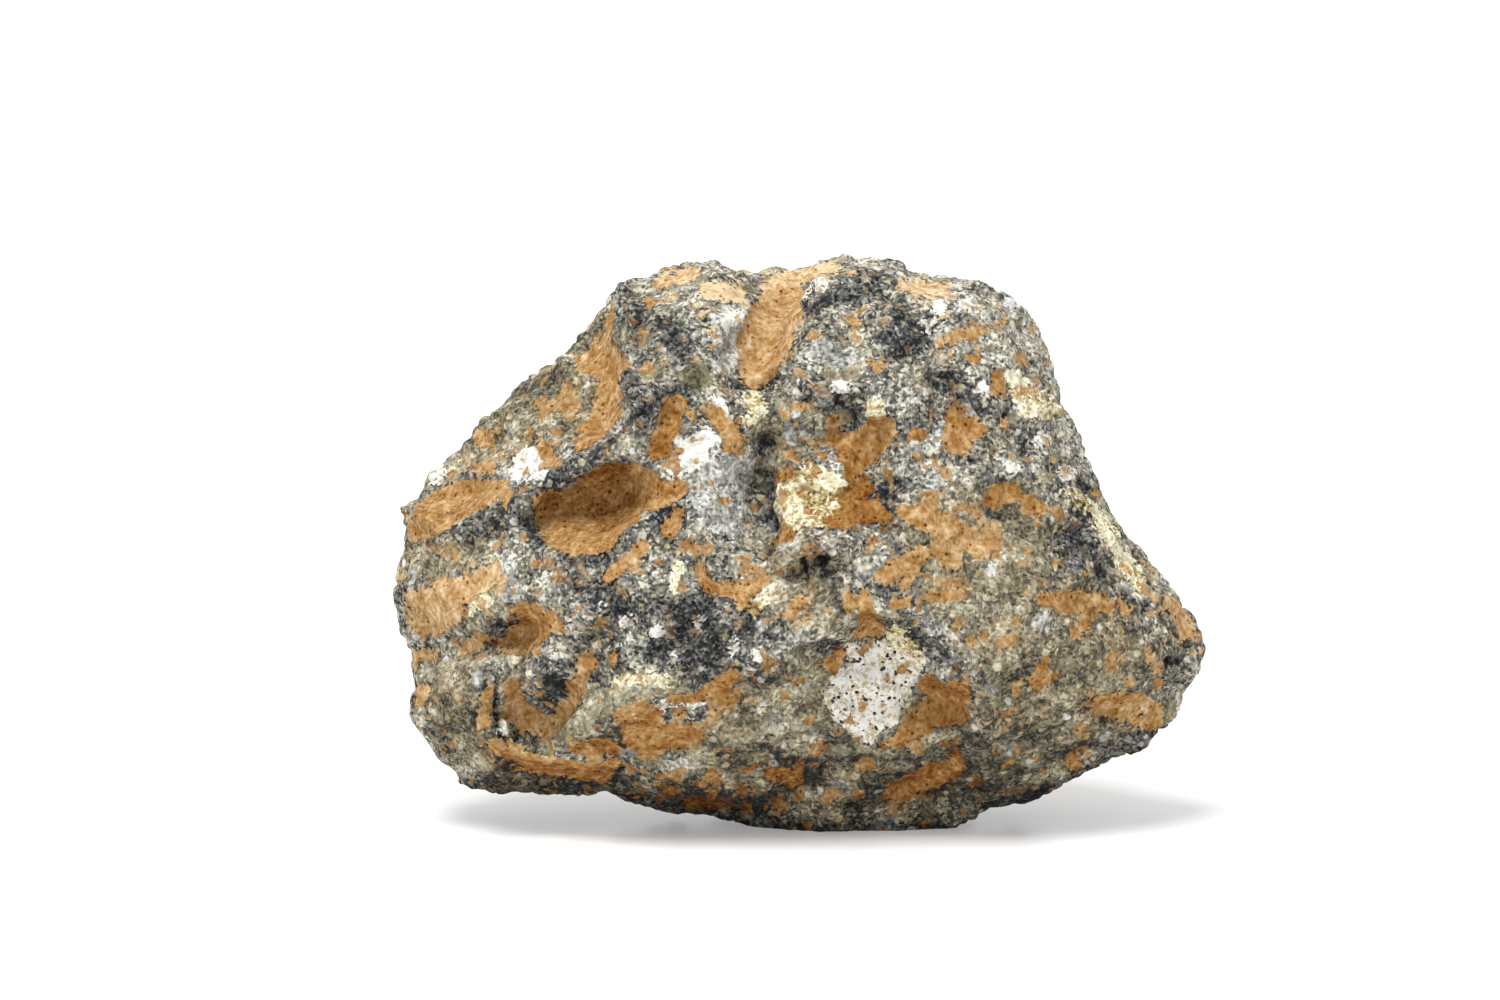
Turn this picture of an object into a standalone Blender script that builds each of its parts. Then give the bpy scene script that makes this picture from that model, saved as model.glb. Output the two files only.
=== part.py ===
"""A lunar meteorite: one broken lump of feldspathic breccia, about 32 mm across.

The stone is described the way a surveyor describes a hill. Its profile is drawn
as it is seen from the front, and so are the break lines of its relief: ridges,
valleys and ledges, each point with its height towards the viewer. A sphere is
drawn out to that profile and pressed onto the two reliefs, front and back. The
hollows that desert soil fills are then sunk, the surface is weathered, and the
stone is stood on the small flat that it rests on.

Everything below is in millimetres until the mesh is made, which is in metres.
In the sight frame, across is to the viewer's right, up is square to the line of
sight and depth grows away from the viewer.
"""

import math

import bmesh
import bpy
import numpy as np
from mathutils import Matrix, Vector, noise
from mathutils.bvhtree import BVHTree
from mathutils.geometry import delaunay_2d_cdt

NODE_NAME = "meteorite_stone"
METRE = 0.001
TINY = 1e-6

# The viewer
SIGHT_DISTANCE = 250.0
SIGHT_TILT = math.radians(6.0)
SIGHT_AXIS = (-1.84, 13.04)

# Driving sizes of the body
CENTRE = (0.0, 10.6)
RIM_SHOULDER = 1.5
RIM_ROUNDING = 1.5
RELIEF_PAST_RIM = 1.04
LINE_KEEP = 0.5
SPHERE_DIVISIONS = 7
SOLID_TRIANGLES = 9400
GROUND_BLOCK = (60.0, 60.0, 10.0)

# From the sight frame, turned level, to the stone's own: its rest flat at height 0, its box centred
STANDING_SHIFT = (-0.038, -2.009, 0.0)

# Weathering: size and height of the lumps. It grows from nothing on the profile line to full at the
# reach behind it, and is stronger by these shares where the surface runs along the sight and on the back
LUMPS = ((4.2, 0.38), (1.7, 0.2), (0.75, 0.07))
WEATHERING_REACH = 1.4
SIDE_WEATHERING = 1.1
BACK_WEATHERING = 0.9
LUMP_ROUGHNESS = 0.9
LUMP_FINENESS = 2.1
LUMP_LAYERS = 3

# How far the outline of a hollow wanders, and over what length
HOLLOW_WANDER = 0.45
HOLLOW_WANDER_SIZE = 1.3

# The profile, as (across, up), clockwise from the tip on the left
PROFILE = [
    (-16.1, 12.8), (-15.9, 13.0), (-15.4, 13.0), (-15.1, 13.3), (-14.9, 13.9), (-14.5, 14.4),
    (-14.0, 14.7), (-13.5, 15.2), (-13.1, 15.5), (-12.9, 15.9), (-12.6, 16.4), (-12.1, 16.7),
    (-11.7, 17.0), (-11.3, 17.5), (-11.0, 17.7), (-10.7, 18.1), (-10.3, 18.3), (-9.7, 18.5),
    (-9.0, 19.2), (-8.7, 19.7), (-8.3, 20.2), (-7.9, 20.7), (-7.5, 21.3), (-7.1, 21.8),
    (-6.5, 21.9), (-5.9, 22.1), (-5.4, 22.4), (-4.7, 22.4), (-4.1, 22.6), (-3.6, 22.7),
    (-3.1, 22.7), (-2.6, 22.3), (-1.6, 22.2), (-1.0, 22.4), (0.0, 22.3), (0.7, 22.6),
    (1.7, 22.9), (2.4, 22.7), (3.7, 22.9), (4.3, 22.7), (4.7, 22.3), (5.4, 22.1),
    (7.1, 21.9), (7.7, 21.7), (8.3, 21.4), (8.9, 21.0), (9.4, 20.6), (9.7, 20.0),
    (10.3, 18.5), (10.5, 17.7), (10.7, 16.9), (10.9, 16.5), (11.3, 15.9), (11.5, 15.4),
    (11.7, 14.8), (12.1, 14.1), (12.4, 12.9), (12.8, 12.2), (13.4, 11.5), (14.5, 10.2),
    (14.9, 9.8), (15.2, 9.3), (16.0, 8.2), (16.3, 7.7), (16.3, 7.0), (16.2, 6.3),
    (15.8, 5.6), (15.5, 5.2), (15.4, 4.5), (15.1, 4.1), (14.3, 3.6), (14.0, 3.1),
    (13.7, 2.9), (12.9, 2.7), (12.3, 2.4), (11.6, 2.1), (10.9, 1.7), (10.3, 1.3),
    (9.7, 1.1), (8.9, 0.9), (8.1, 0.7), (7.5, 0.4), (7.0, 0.1), (6.4, -0.1),
    (2.2, -0.4), (-1.1, -0.4), (-1.8, -0.1), (-2.4, 0.2), (-4.3, 0.4), (-5.0, 0.5),
    (-5.7, 0.7), (-6.4, 0.8), (-7.2, 1.2), (-7.7, 1.4), (-8.6, 1.1), (-10.3, 1.2),
    (-10.9, 1.3), (-11.8, 1.3), (-13.2, 1.5), (-13.5, 1.7), (-13.7, 2.2), (-14.4, 2.8),
    (-15.2, 3.9), (-15.5, 4.5), (-15.5, 5.0), (-15.3, 5.5), (-15.5, 6.1), (-15.4, 6.9),
    (-15.8, 7.7), (-16.2, 8.7), (-16.3, 9.3), (-16.0, 10.1), (-15.9, 10.9), (-15.7, 11.5),
]

# Depth of the profile line all round, as (degrees anticlockwise from the right, depth)
RIM_DEPTHS = [
    (-180, 0.3), (-165, 0.5), (-145, 0.3), (-130, 0.0), (-110, 0.5), (-90, -0.6), (-60, -0.6),
    (-45, 0.5), (-30, 1.0), (-15, 0.8), (0, 1.5), (20, 1.8), (40, 2.0), (55, 2.6), (70, 3.4),
    (85, 4.0), (97, 3.4), (110, 2.4), (120, 1.2), (128, 2.2), (140, 2.8), (152, 2.4),
    (165, 1.4), (172, 0.3), (180, 0.3),
]

# Break lines of the front, as (across, up, height towards the viewer)
FRONT_LINES = {
    "spine": [
        (-15.4, 11.3, 1.4), (-14.2, 11.9, 3.1), (-12.6, 12.2, 4.5), (-11.2, 12.8, 5.4),
        (-9.4, 14, 6.2), (-7.8, 14.7, 6.7), (-6.1, 15.1, 7), (-5.9, 16.2, 6.6), (-6.5, 17.3, 6.2),
        (-7, 18.1, 5.2), (-7, 19.8, 3.6), (-7, 21.2, 2),
    ],
    "chute left edge": [(-2.7, 17.5, 6), (-2.8, 19.3, 5.1), (-2.3, 20.4, 4.2), (-1.9, 21.6, 2.3)],
    "chute floor": [(-2, 17.9, 4.8), (-1.8, 19.2, 3.5), (-1.2, 20.6, 2.2), (-0.4, 21.7, 0.8)],
    "chute right foot": [(-1.2, 17.9, 4.8), (-0.8, 19.2, 3.7), (-0.3, 20.5, 2.5), (0.5, 21.6, 1.2)],
    "chute right edge": [
        (-0.6, 18.1, 6.7), (0.1, 19.6, 5.7), (0.8, 21.1, 4.4), (1.4, 21.8, 3.2), (2.7, 22.2, 2.1),
        (3.8, 21.8, 3.1), (4.5, 21.3, 3.8), (6, 21, 3.7), (7.8, 20.9, 3), (9, 20.3, 2.1),
    ],
    "central groove": [
        (-1.6, 16.6, 6.2), (-1.2, 15.4, 5.5), (-1.4, 13.8, 5.1), (-1.2, 12.2, 5.5), (-1, 11, 6.2),
    ],
    "brow": [(-0.6, 11, 8), (0.2, 11.3, 8.7), (1.8, 11.5, 8.9), (3.4, 11.4, 8.5), (5, 11.2, 8)],
    "under the brow": [(-0.4, 10.2, 7.7), (0.5, 10.3, 7.8), (1.6, 10.5, 8.1), (2.8, 10.6, 8.4)],
    "lower scarp": [
        (-2.2, 6.2, 8.4), (-0.2, 6.9, 8.9), (1.4, 7.8, 8.9), (2.9, 8.7, 8.7), (4.3, 8, 8.6),
        (5.5, 6.8, 8.2), (6.7, 5.6, 7.8), (7.3, 4.2, 7), (7.6, 2.7, 5.7),
    ],
    "foot of the scarp": [
        (-1.6, 5.5, 7.4), (0.2, 5.9, 7.1), (1.8, 6.9, 6.8), (2.9, 7.8, 6.8), (4.1, 6.5, 6.1),
        (5.3, 5.5, 5.6), (6.4, 4.7, 5.5),
    ],
    "lump edge": [(9.8, 4.9, 5.7), (11.8, 5.4, 5), (13.4, 5.7, 4.3), (15.2, 5.9, 2.6)],
    "notch": [(10.4, 4.3, 4.2), (11.8, 4.6, 3.1), (13.4, 4.8, 2.3), (14.9, 5, 1.2)],
    "left valley": [(-15.1, 6.9, 1.7), (-13.8, 6.9, 3), (-12.2, 7.2, 4.3), (-10.6, 8, 5.4)],
    "olive ridge": [(-9.4, 3.2, 5.3), (-7.8, 4.4, 6.6), (-5.8, 5.4, 7.6), (-4.2, 5.8, 8)],
    "lower edge": [
        (-12.6, 1.9, 2.2), (-11.8, 2.5, 4), (-9.4, 2.1, 4.3), (-7, 2.2, 4.5), (-4.6, 2, 4.2),
        (-1.6, 1.5, 3.9), (1, 1.4, 3.7), (3.4, 1.4, 3.6), (6, 1.6, 3.4), (9, 2.3, 3.1), (12, 3, 2),
    ],
}

# Spot heights of the front, between its break lines
FRONT_SPOTS = {
    "upper left face": [(-13.8, 13.4, 1.2), (-11.6, 15.2, 1.3), (-9.5, 16.9, 1.3), (-8, 19, 0.9)],
    "face at the spine": [
        (-11.6, 13.8, 2.8), (-9.6, 15.1, 2.8), (-8, 16, 2.9), (-7.5, 17.4, 2.4), (-7.7, 18.8, 1.3),
    ],
    "upper left block": [
        (-5.4, 18, 6.3), (-4, 18.2, 6.6), (-3, 17.9, 5.9), (-3.2, 20.3, 4.5), (-5.8, 19.8, 4.9),
        (-4.6, 21.6, 2.3),
    ],
    "top face": [(3.6, 22.4, 0.9), (4.6, 21.8, 2.2), (5.8, 21.6, 2.4), (7.6, 21.4, 1.7)],
    "upper right block": [
        (1, 17, 6.9), (3, 17.8, 6.8), (3.4, 19.8, 5.5), (6.2, 19.4, 4.9), (8.2, 19, 4.1),
        (9.5, 19, 2.7), (6.2, 17, 6.1), (8.2, 17, 5), (9.9, 17, 3.3), (10.9, 15.4, 2.8),
    ],
    "left of the groove": [
        (-3.8, 15.4, 7.1), (-3.8, 13.8, 7.4), (-4.2, 12.2, 7.5), (-2.4, 14.6, 6.6), (-3, 12.2, 7.1),
        (-2.2, 10.6, 7.3), (-4.2, 10.6, 7.9),
    ],
    "right of the groove": [
        (-0.4, 15.6, 6.6), (-0.3, 14.4, 6.9), (-0.2, 13, 7.2), (0.2, 11.9, 7.5), (1.4, 14.4, 7.1),
        (2.2, 12.9, 6.9),
    ],
    "soil wedge": [(2.2, 15.8, 6.3), (2.8, 14, 6.3), (2.9, 12.6, 6.6)],
    "right face": [
        (4.2, 14.6, 7.1), (5, 13, 7.5), (8.2, 15, 5.7), (8.2, 13, 6.2), (10.6, 13.8, 4.1),
        (11.6, 13.4, 2.9), (8.2, 10.6, 7), (10.6, 10.6, 5.5), (12.2, 11.4, 3.8), (13, 10.6, 2.9),
    ],
    "below the brow": [(0.2, 9, 8.5), (2.2, 9, 8.6), (4.2, 9.4, 8.5), (6.2, 9.4, 7.9)],
    "clast face": [
        (5.7, 3.8, 5.4), (3.4, 3.4, 5.7), (1.4, 4.2, 6.3), (-0.6, 3.5, 6.3), (5.6, 2.6, 4.7),
    ],
    "right block": [
        (7.4, 7.4, 7.7), (9, 6.6, 7.1), (11.4, 7.4, 5.9), (9.8, 9, 6.5), (12.2, 9, 4.8), (8.2, 5, 6.5),
        (13, 6.6, 4.5), (14.2, 7.4, 3.7), (14.6, 9, 2.3), (15.5, 7.4, 2.3),
    ],
    "below the notch": [(10.4, 3.4, 3.7), (12.2, 3.9, 3.5), (13.7, 3.9, 2.4), (12.6, 3, 1.8)],
    "belly": [
        (-7.8, 10.2, 7.8), (-5.4, 9.8, 8.2), (-2.2, 9.4, 8.3), (-7, 9, 8.5), (-5.4, 8.2, 8.9),
        (-3, 8.2, 9), (-1.4, 8.2, 8.8), (-3.8, 6.6, 8.6), (-6.2, 6.6, 8.2), (-8.6, 8.2, 7.8),
        (-9.4, 9.4, 7.4),
    ],
    "left flank": [
        (-11.8, 11, 5.7), (-13.4, 10.6, 4.4), (-14.6, 9.8, 3), (-15.2, 8.2, 2.3), (-13, 9, 4.7),
        (-11.8, 9.4, 5.8), (-10.2, 9.8, 6.7), (-14.8, 7.4, 3.1), (-13, 7.8, 4.7), (-11.6, 8.6, 5.7),
    ],
    "lower left block": [
        (-14.2, 6.2, 3.6), (-13, 6.4, 4.9), (-12.1, 5.8, 5.5), (-14.2, 4.2, 3.3), (-13, 3.8, 4.5),
        (-12.1, 3.5, 4.9), (-13.4, 2.4, 2.7),
    ],
    "pit by the ridge": [(-11.4, 5, 4.8), (-10.2, 3.9, 4.8), (-8.6, 5.6, 6), (-8, 6.6, 6.9)],
    "under the ridge": [(-6.2, 3.8, 6.1), (-4.2, 3.5, 6.2), (-3, 5, 7.4), (-2.6, 3.4, 6.2)],
    "turn under": [
        (-10.4, 1.6, 2.4), (-7.6, 1.7, 2.5), (-5.6, 1.3, 2.6), (-1.4, 0.5, 2.2), (2.2, 0.4, 2),
        (5.8, 0.6, 1.8), (9, 1.4, 1.6),
    ],
}

# Break lines of the back, as (across, up, height away from the viewer)
BACK_LINES = {
    "crest": [
        (-13.4, 12.2, 5.6), (-9.6, 14.2, 7.9), (-5.2, 16.4, 8.8), (-1.4, 16.0, 10.0), (2.6, 13.6, 10.4),
        (6.4, 12.8, 9.4), (10.2, 9.2, 7.6), (13.6, 7.8, 4.8),
    ],
    "shelf": [
        (-11.0, 6.6, 6.8), (-7.4, 8.0, 9.0), (-3.4, 7.4, 9.6), (0.8, 8.2, 9.6), (3.6, 6.4, 8.6),
        (7.0, 6.6, 8.0),
    ],
    "shelf foot": [(-9.8, 5.2, 5.2), (-6.8, 6.2, 7.0), (-3.0, 5.8, 7.8), (0.4, 6.6, 8.4), (3.2, 4.8, 7.4)],
    "top scarp": [(-6.6, 20.2, 4.9), (-2.4, 20.6, 6.6), (1.8, 19.9, 7.9), (6.0, 20.0, 6.4), (8.2, 18.0, 6.4)],
}

# Spot heights of the back, between its break lines
BACK_SPOTS = {
    "left end": [(-15.5, 9.8, 3.4), (-15.0, 5.6, 3.4), (-14.4, 3.2, 2.8), (-14.6, 12.4, 3.4)],
    "upper left": [(-11.4, 15.4, 5.2), (-9.0, 17.6, 5.2), (-5.8, 18.4, 6.9)],
    "upper middle": [(-1.6, 18.4, 8.1), (2.4, 17.6, 8.6), (6.6, 16.4, 7.8), (9.2, 15.4, 6.2)],
    "middle": [(-12.2, 9.8, 6.6), (-8.6, 11.2, 8.0), (-4.6, 12.4, 8.7), (-0.8, 11.6, 9.4), (3.6, 10.0, 9.5)],
    "right": [(10.8, 12.6, 6.0), (8.0, 9.4, 8.3), (12.0, 6.2, 5.6), (15.0, 7.4, 3.0)],
    "foot": [
        (-11.4, 2.6, 3.4), (-7.2, 3.2, 4.9), (-4.0, 1.6, 4.1), (0.2, 3.0, 6.0), (1.6, 1.1, 4.6),
        (5.0, 2.6, 5.8), (8.8, 3.2, 5.0), (11.0, 3.2, 3.4), (6.8, 1.2, 3.0),
    ],
}

# Hollows and knobs, as (across, up, half length, half width, degrees, depth); a knob's depth is negative
FRONT_HOLLOWS = {
    "great hollow": (-8.3, 12.75, 2.7, 1.55, 22, 1.9),
    "great hollow throat": (-6.5, 13.3, 1.3, 1.0, 35, 0.5),
    "slot above": (-5.3, 15.9, 1.5, 0.6, 66, 0.5),
    "pocket beside": (-4.0, 16.3, 0.9, 0.6, -50, 0.3),
    "belly pocket": (-3.0, 9.9, 1.5, 0.6, -8, 0.6),
    "brow cavity": (0.1, 10.3, 0.55, 0.42, 0, 0.7),
    "brow cavity right": (1.4, 10.7, 0.55, 0.35, 20, 0.5),
    "heart lobe left": (1.4, 15.6, 0.8, 0.7, 60, 0.3),
    "heart lobe right": (3.4, 15.6, 1.2, 0.95, 30, 0.35),
    "heart stem": (2.7, 13.7, 1.8, 0.8, 80, 0.3),
    "upper right pocket": (6.3, 16.0, 1.3, 0.9, -50, 0.3),
    "ring pit": (-10.2, 4.7, 1.9, 1.8, 0, 1.0),
    "ring knob": (-9.9, 6.1, 1.15, 0.95, 30, -1.6),
    "pocket in the block": (-12.5, 4.4, 0.9, 0.45, 65, 0.5),
    "left valley hollow": (-11.0, 7.6, 1.5, 0.7, 25, 0.8),
    "left bulge": (-14.3, 8.8, 1.3, 1.2, 10, -0.5),
    "left upper pocket": (-13.3, 13.0, 1.9, 0.9, 16, 0.5),
    "under the ridge pocket": (-5.3, 3.9, 1.9, 0.8, -12, 0.4),
    "dark knob": (-6.6, 13.3, 0.5, 0.4, 40, -0.3),
    "spine knob": (-6.2, 17.4, 0.9, 0.7, 20, -0.5),
    "spine lump": (-6.9, 15.1, 0.9, 0.6, 30, -0.5),
    "top knob": (-3.6, 22.0, 0.8, 0.6, 0, -0.3),
    "cream knob": (3.1, 16.9, 0.9, 0.6, 20, -0.35),
    "grain by the heart": (4.7, 17.0, 0.5, 0.7, 0, -0.35),
    "right lump hollow": (14.5, 6.6, 0.6, 0.4, 0, 0.5),
    "right pocket": (11.6, 8.9, 1.4, 0.8, -15, 0.45),
    "soil scoop": (5.0, 5.4, 1.5, 1.1, -35, 0.35),
    "lower scoop": (5.0, 2.0, 1.9, 0.7, 22, 0.4),
}
BACK_HOLLOWS = {
    "back hollow": (-4.6, 14.0, 3.1, 1.7, -24, 0.8),
    "back hollow end": (-2.4, 12.8, 1.9, 1.3, 40, 0.5),
    "right trough": (7.2, 14.4, 2.9, 1.3, -48, 0.6),
    "right trough end": (8.8, 12.2, 1.5, 1.2, 0, 0.4),
    "shelf pocket": (-8.6, 9.8, 2.1, 1.3, 15, 0.6),
    "low trough": (4.8, 4.6, 3.0, 1.1, 14, 0.6),
    "low pocket": (-3.6, 4.4, 1.9, 0.8, -20, 0.5),
    "left lump": (-11.2, 11.2, 1.9, 1.2, -35, -0.5),
    "middle lump": (2.2, 11.6, 2.1, 1.4, 10, -0.5),
    "right lump": (10.4, 8.2, 1.5, 1.1, 60, -0.4),
}


def clear_scene():
    for obj in list(bpy.data.objects):
        bpy.data.objects.remove(obj)


class Rim:
    """The profile line, read by the angle around CENTRE."""

    def __init__(self):
        points = np.array(PROFILE) - CENTRE
        self.start = points
        self.step = np.roll(points, -1, axis=0) - points
        degrees, depths = zip(*RIM_DEPTHS)
        self.angles = np.radians(degrees)
        self.depths = np.array(depths)

    def radius(self, angle):
        """How far from CENTRE the ray at this angle leaves the profile."""
        ray = np.array((math.cos(angle), math.sin(angle)))
        turn = ray[0] * self.step[:, 1] - ray[1] * self.step[:, 0]
        turn = np.where(np.abs(turn) < TINY, TINY, turn)
        reach = (self.start[:, 0] * self.step[:, 1] - self.start[:, 1] * self.step[:, 0]) / turn
        share = (self.start[:, 0] * ray[1] - self.start[:, 1] * ray[0]) / turn
        met = (reach > 0) & (share >= -TINY) & (share <= 1 + TINY)
        return float(reach[met].max())

    def depth(self, angle):
        return float(np.interp(angle, self.angles, self.depths))

    def distance_behind(self, point):
        """How far along the sight a point is from the profile line's own depth there."""
        angle = math.atan2(point.z - CENTRE[1], point.x - CENTRE[0])
        return abs(point.y - self.depth(angle))


def relief_surface(lines, spots, rim, away):
    """A triangulated relief through break lines and spot heights. away is -1 in front and 1 behind."""
    flat, depths, edges = [], [], []
    for line in lines.values():
        first = len(flat)
        flat += [Vector((across, up)) for across, up, _ in line]
        depths += [away * height for _, _, height in line]
        edges += [(i, i + 1) for i in range(first, len(flat) - 1)]
    for place in spots.values():
        flat += [Vector((across, up)) for across, up, _ in place]
        depths += [away * height for _, _, height in place]
    for across, up in PROFILE[::2]:
        offset = Vector((across, up)) - Vector(CENTRE)
        flat.append(Vector(CENTRE) + RELIEF_PAST_RIM * offset)
        depths.append(rim.depth(math.atan2(offset.y, offset.x)) + away * RIM_SHOULDER)
    points, _, faces, origins, _, _ = delaunay_2d_cdt(flat, edges, [], 0, TINY)
    corners = [
        Vector((point.x, depths[origin[0]], point.y)) for point, origin in zip(points, origins)
    ]
    return BVHTree.FromPolygons(corners, faces)


def depth_on(surface, across, up):
    hit = surface.ray_cast(Vector((across, -100.0, up)), Vector((0.0, 1.0, 0.0)))
    return hit[0].y


def sunk_by(hollows, across, up):
    """How far the hollows sink this point: each is a flat-bottomed bowl with an uneven outline."""
    total = 0.0
    wander = HOLLOW_WANDER * noise.noise_vector(Vector((across, up, 0.0)) / HOLLOW_WANDER_SIZE)
    for at, height, long, wide, degrees, depth in hollows.values():
        turn = math.radians(degrees)
        x, y = across + wander.x - at, up + wander.y - height
        along = (x * math.cos(turn) + y * math.sin(turn)) / long
        aside = (y * math.cos(turn) - x * math.sin(turn)) / wide
        reach = along * along + aside * aside
        if reach < 1:
            total += depth * (1 - reach * reach)
    return total


def weathering(point):
    """Lumps of three sizes over the broken surface, in millimetres."""
    return sum(
        height * noise.fractal(point / size, LUMP_ROUGHNESS, LUMP_FINENESS, LUMP_LAYERS)
        for size, height in LUMPS
    )


def sight_point(seen):
    """The place of what is seen at (across, up) at this depth: further things are larger than they look."""
    scale = 1 + seen.y / SIGHT_DISTANCE
    axis = Vector((SIGHT_AXIS[0], 0.0, SIGHT_AXIS[1]))
    place = axis + (seen - axis) * scale
    place.y = seen.y
    return place


def draw_out(direction, rim, surfaces):
    """The point of the stone for one direction of the sphere, whose equator becomes the profile line."""
    angle = math.atan2(direction.z, direction.x)
    outward = min(1.0, math.hypot(direction.x, direction.z))
    reach = rim.radius(angle)
    side = -1 if direction.y < 0 else 1
    across = CENTRE[0] + reach * outward * math.cos(angle)
    up = CENTRE[1] + reach * outward * math.sin(angle)
    inset = min(1.0, reach * (1 - outward) / RIM_ROUNDING)
    rise = math.sqrt(1 - (1 - inset) ** 2)
    surface, hollows = surfaces[side]
    face_depth = depth_on(surface, across, up) - side * sunk_by(hollows, across, up)
    rim_depth = rim.depth(angle)
    return Vector((across, rim_depth + (face_depth - rim_depth) * rise, up))


def weather(body, rim):
    """Roughens the surface along its normals, and keeps it inside the profile line as seen from the front."""
    body.normal_update()
    moves = []
    for vertex in body.verts:
        along_sight = 1 - abs(vertex.normal.y)
        behind = max(0.0, vertex.normal.y)
        strength = 1 + SIDE_WEATHERING * along_sight + BACK_WEATHERING * behind
        moves.append(vertex.normal * weathering(vertex.co) * strength)
    for vertex, move in zip(body.verts, moves):
        vertex.co += move * min(1.0, rim.distance_behind(vertex.co) / WEATHERING_REACH)
        offset = Vector((vertex.co.x - CENTRE[0], vertex.co.z - CENTRE[1]))
        limit = rim.radius(math.atan2(offset.y, offset.x))
        if offset.length > limit:
            vertex.co.x = CENTRE[0] + offset.x * limit / offset.length
            vertex.co.z = CENTRE[1] + offset.y * limit / offset.length


def stone_mesh():
    rim = Rim()
    surfaces = {
        -1: (relief_surface(FRONT_LINES, FRONT_SPOTS, rim, -1), FRONT_HOLLOWS),
        1: (relief_surface(BACK_LINES, BACK_SPOTS, rim, 1), BACK_HOLLOWS),
    }
    body = bmesh.new()
    bmesh.ops.create_icosphere(body, subdivisions=SPHERE_DIVISIONS, radius=1.0)
    for vertex in body.verts:
        vertex.co = draw_out(vertex.co, rim, surfaces)
    off_line = [vertex for vertex in body.verts if rim.distance_behind(vertex.co) > LINE_KEEP]
    bmesh.ops.smooth_vert(
        body, verts=off_line, factor=0.5, use_axis_x=True, use_axis_y=True, use_axis_z=True
    )
    weather(body, rim)
    for vertex in body.verts:
        vertex.co = sight_point(vertex.co)
    bmesh.ops.transform(body, matrix=Matrix.Rotation(-SIGHT_TILT, 4, "X"), verts=body.verts)
    bmesh.ops.translate(body, verts=body.verts, vec=STANDING_SHIFT)
    bmesh.ops.scale(body, verts=body.verts, vec=(METRE, METRE, METRE))
    bmesh.ops.recalc_face_normals(body, faces=body.faces)
    mesh = bpy.data.meshes.new(NODE_NAME)
    body.to_mesh(mesh)
    body.free()
    return mesh


def breccia_material():
    material = bpy.data.materials.new("breccia with desert soil")
    material.use_nodes = True
    shader = material.node_tree.nodes["Principled BSDF"]
    shader.inputs["Base Color"].default_value = (0.30, 0.23, 0.15, 1.0)
    shader.inputs["Roughness"].default_value = 0.85
    shader.inputs["Metallic"].default_value = 0.0
    return material


def ground_block():
    """The cutter below height 0, which leaves the small flat that the stone rests on."""
    size = METRE * Vector(GROUND_BLOCK)
    mesh = bpy.data.meshes.new("ground_block")
    block = bmesh.new()
    bmesh.ops.create_cube(block, size=1.0)
    bmesh.ops.scale(block, verts=block.verts, vec=size)
    bmesh.ops.translate(block, verts=block.verts, vec=(0, 0, -size.z / 2))
    block.to_mesh(mesh)
    block.free()
    cutter = bpy.data.objects.new("ground_block", mesh)
    cutter.hide_render = True
    cutter.display_type = "WIRE"
    return cutter


def build():
    clear_scene()
    stone_group = bpy.data.collections.new("lunar_meteorite")
    cutter_group = bpy.data.collections.new("cutters")
    for group in (stone_group, cutter_group):
        bpy.context.scene.collection.children.link(group)

    stone = bpy.data.objects.new(NODE_NAME, stone_mesh())
    stone.data.materials.append(breccia_material())
    stone_group.objects.link(stone)
    cutter = ground_block()
    cutter_group.objects.link(cutter)

    fewer_faces = stone.modifiers.new("fewer faces", "DECIMATE")
    fewer_faces.ratio = SOLID_TRIANGLES / len(stone.data.polygons)
    rest_flat = stone.modifiers.new("rest flat", "BOOLEAN")
    rest_flat.operation = "DIFFERENCE"
    rest_flat.solver = "EXACT"
    rest_flat.object = cutter


build()
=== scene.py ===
"""The looks of the lunar meteorite: its broken, grainy surface, its soil, and a plain stage."""

import math

import bpy
import numpy as np
from mathutils import Matrix, Vector, noise


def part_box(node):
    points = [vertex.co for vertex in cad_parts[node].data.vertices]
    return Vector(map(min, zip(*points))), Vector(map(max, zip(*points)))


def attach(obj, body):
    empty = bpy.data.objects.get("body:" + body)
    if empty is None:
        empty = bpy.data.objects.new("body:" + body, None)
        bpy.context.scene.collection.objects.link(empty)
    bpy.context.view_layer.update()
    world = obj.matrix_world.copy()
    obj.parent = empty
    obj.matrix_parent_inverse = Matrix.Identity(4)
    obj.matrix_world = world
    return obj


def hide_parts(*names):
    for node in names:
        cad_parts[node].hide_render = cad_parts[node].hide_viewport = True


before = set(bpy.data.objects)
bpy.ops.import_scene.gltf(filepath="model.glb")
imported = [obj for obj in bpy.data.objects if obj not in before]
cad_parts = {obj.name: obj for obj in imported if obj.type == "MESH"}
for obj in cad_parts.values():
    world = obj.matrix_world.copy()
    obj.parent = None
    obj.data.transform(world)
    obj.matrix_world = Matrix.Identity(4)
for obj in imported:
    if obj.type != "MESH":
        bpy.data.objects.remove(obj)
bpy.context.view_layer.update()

bl_info = {
    "name": "Lunar Meteorite",
    "version": (1, 0, 0),
    "blender": (4, 5, 0),
    "location": "View3D > Sidebar > Meteorite",
    "description": "Dresses one broken lunar stone with its grain, clasts and desert soil",
    "category": "Add Mesh",
}

STONE_NODE = "meteorite_stone"
STONE_PIECE = "dressed_stone"
MM = 0.001

# How the photograph was taken, in millimetres, and where its zero stands in its 1500×1000 frame
SIGHT_DISTANCE = 250.0
SIGHT_TILT = math.radians(6)
SIGHT_AXIS = (-1.84, 13.04)
STANDING_SHIFT = (-0.038, -2.009, 0.0)
PIXELS_PER_MM = 25.0
ZERO_PIXEL = (796.0, 826.0)
LENS = 150.0
SENSOR = 36.0

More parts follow.
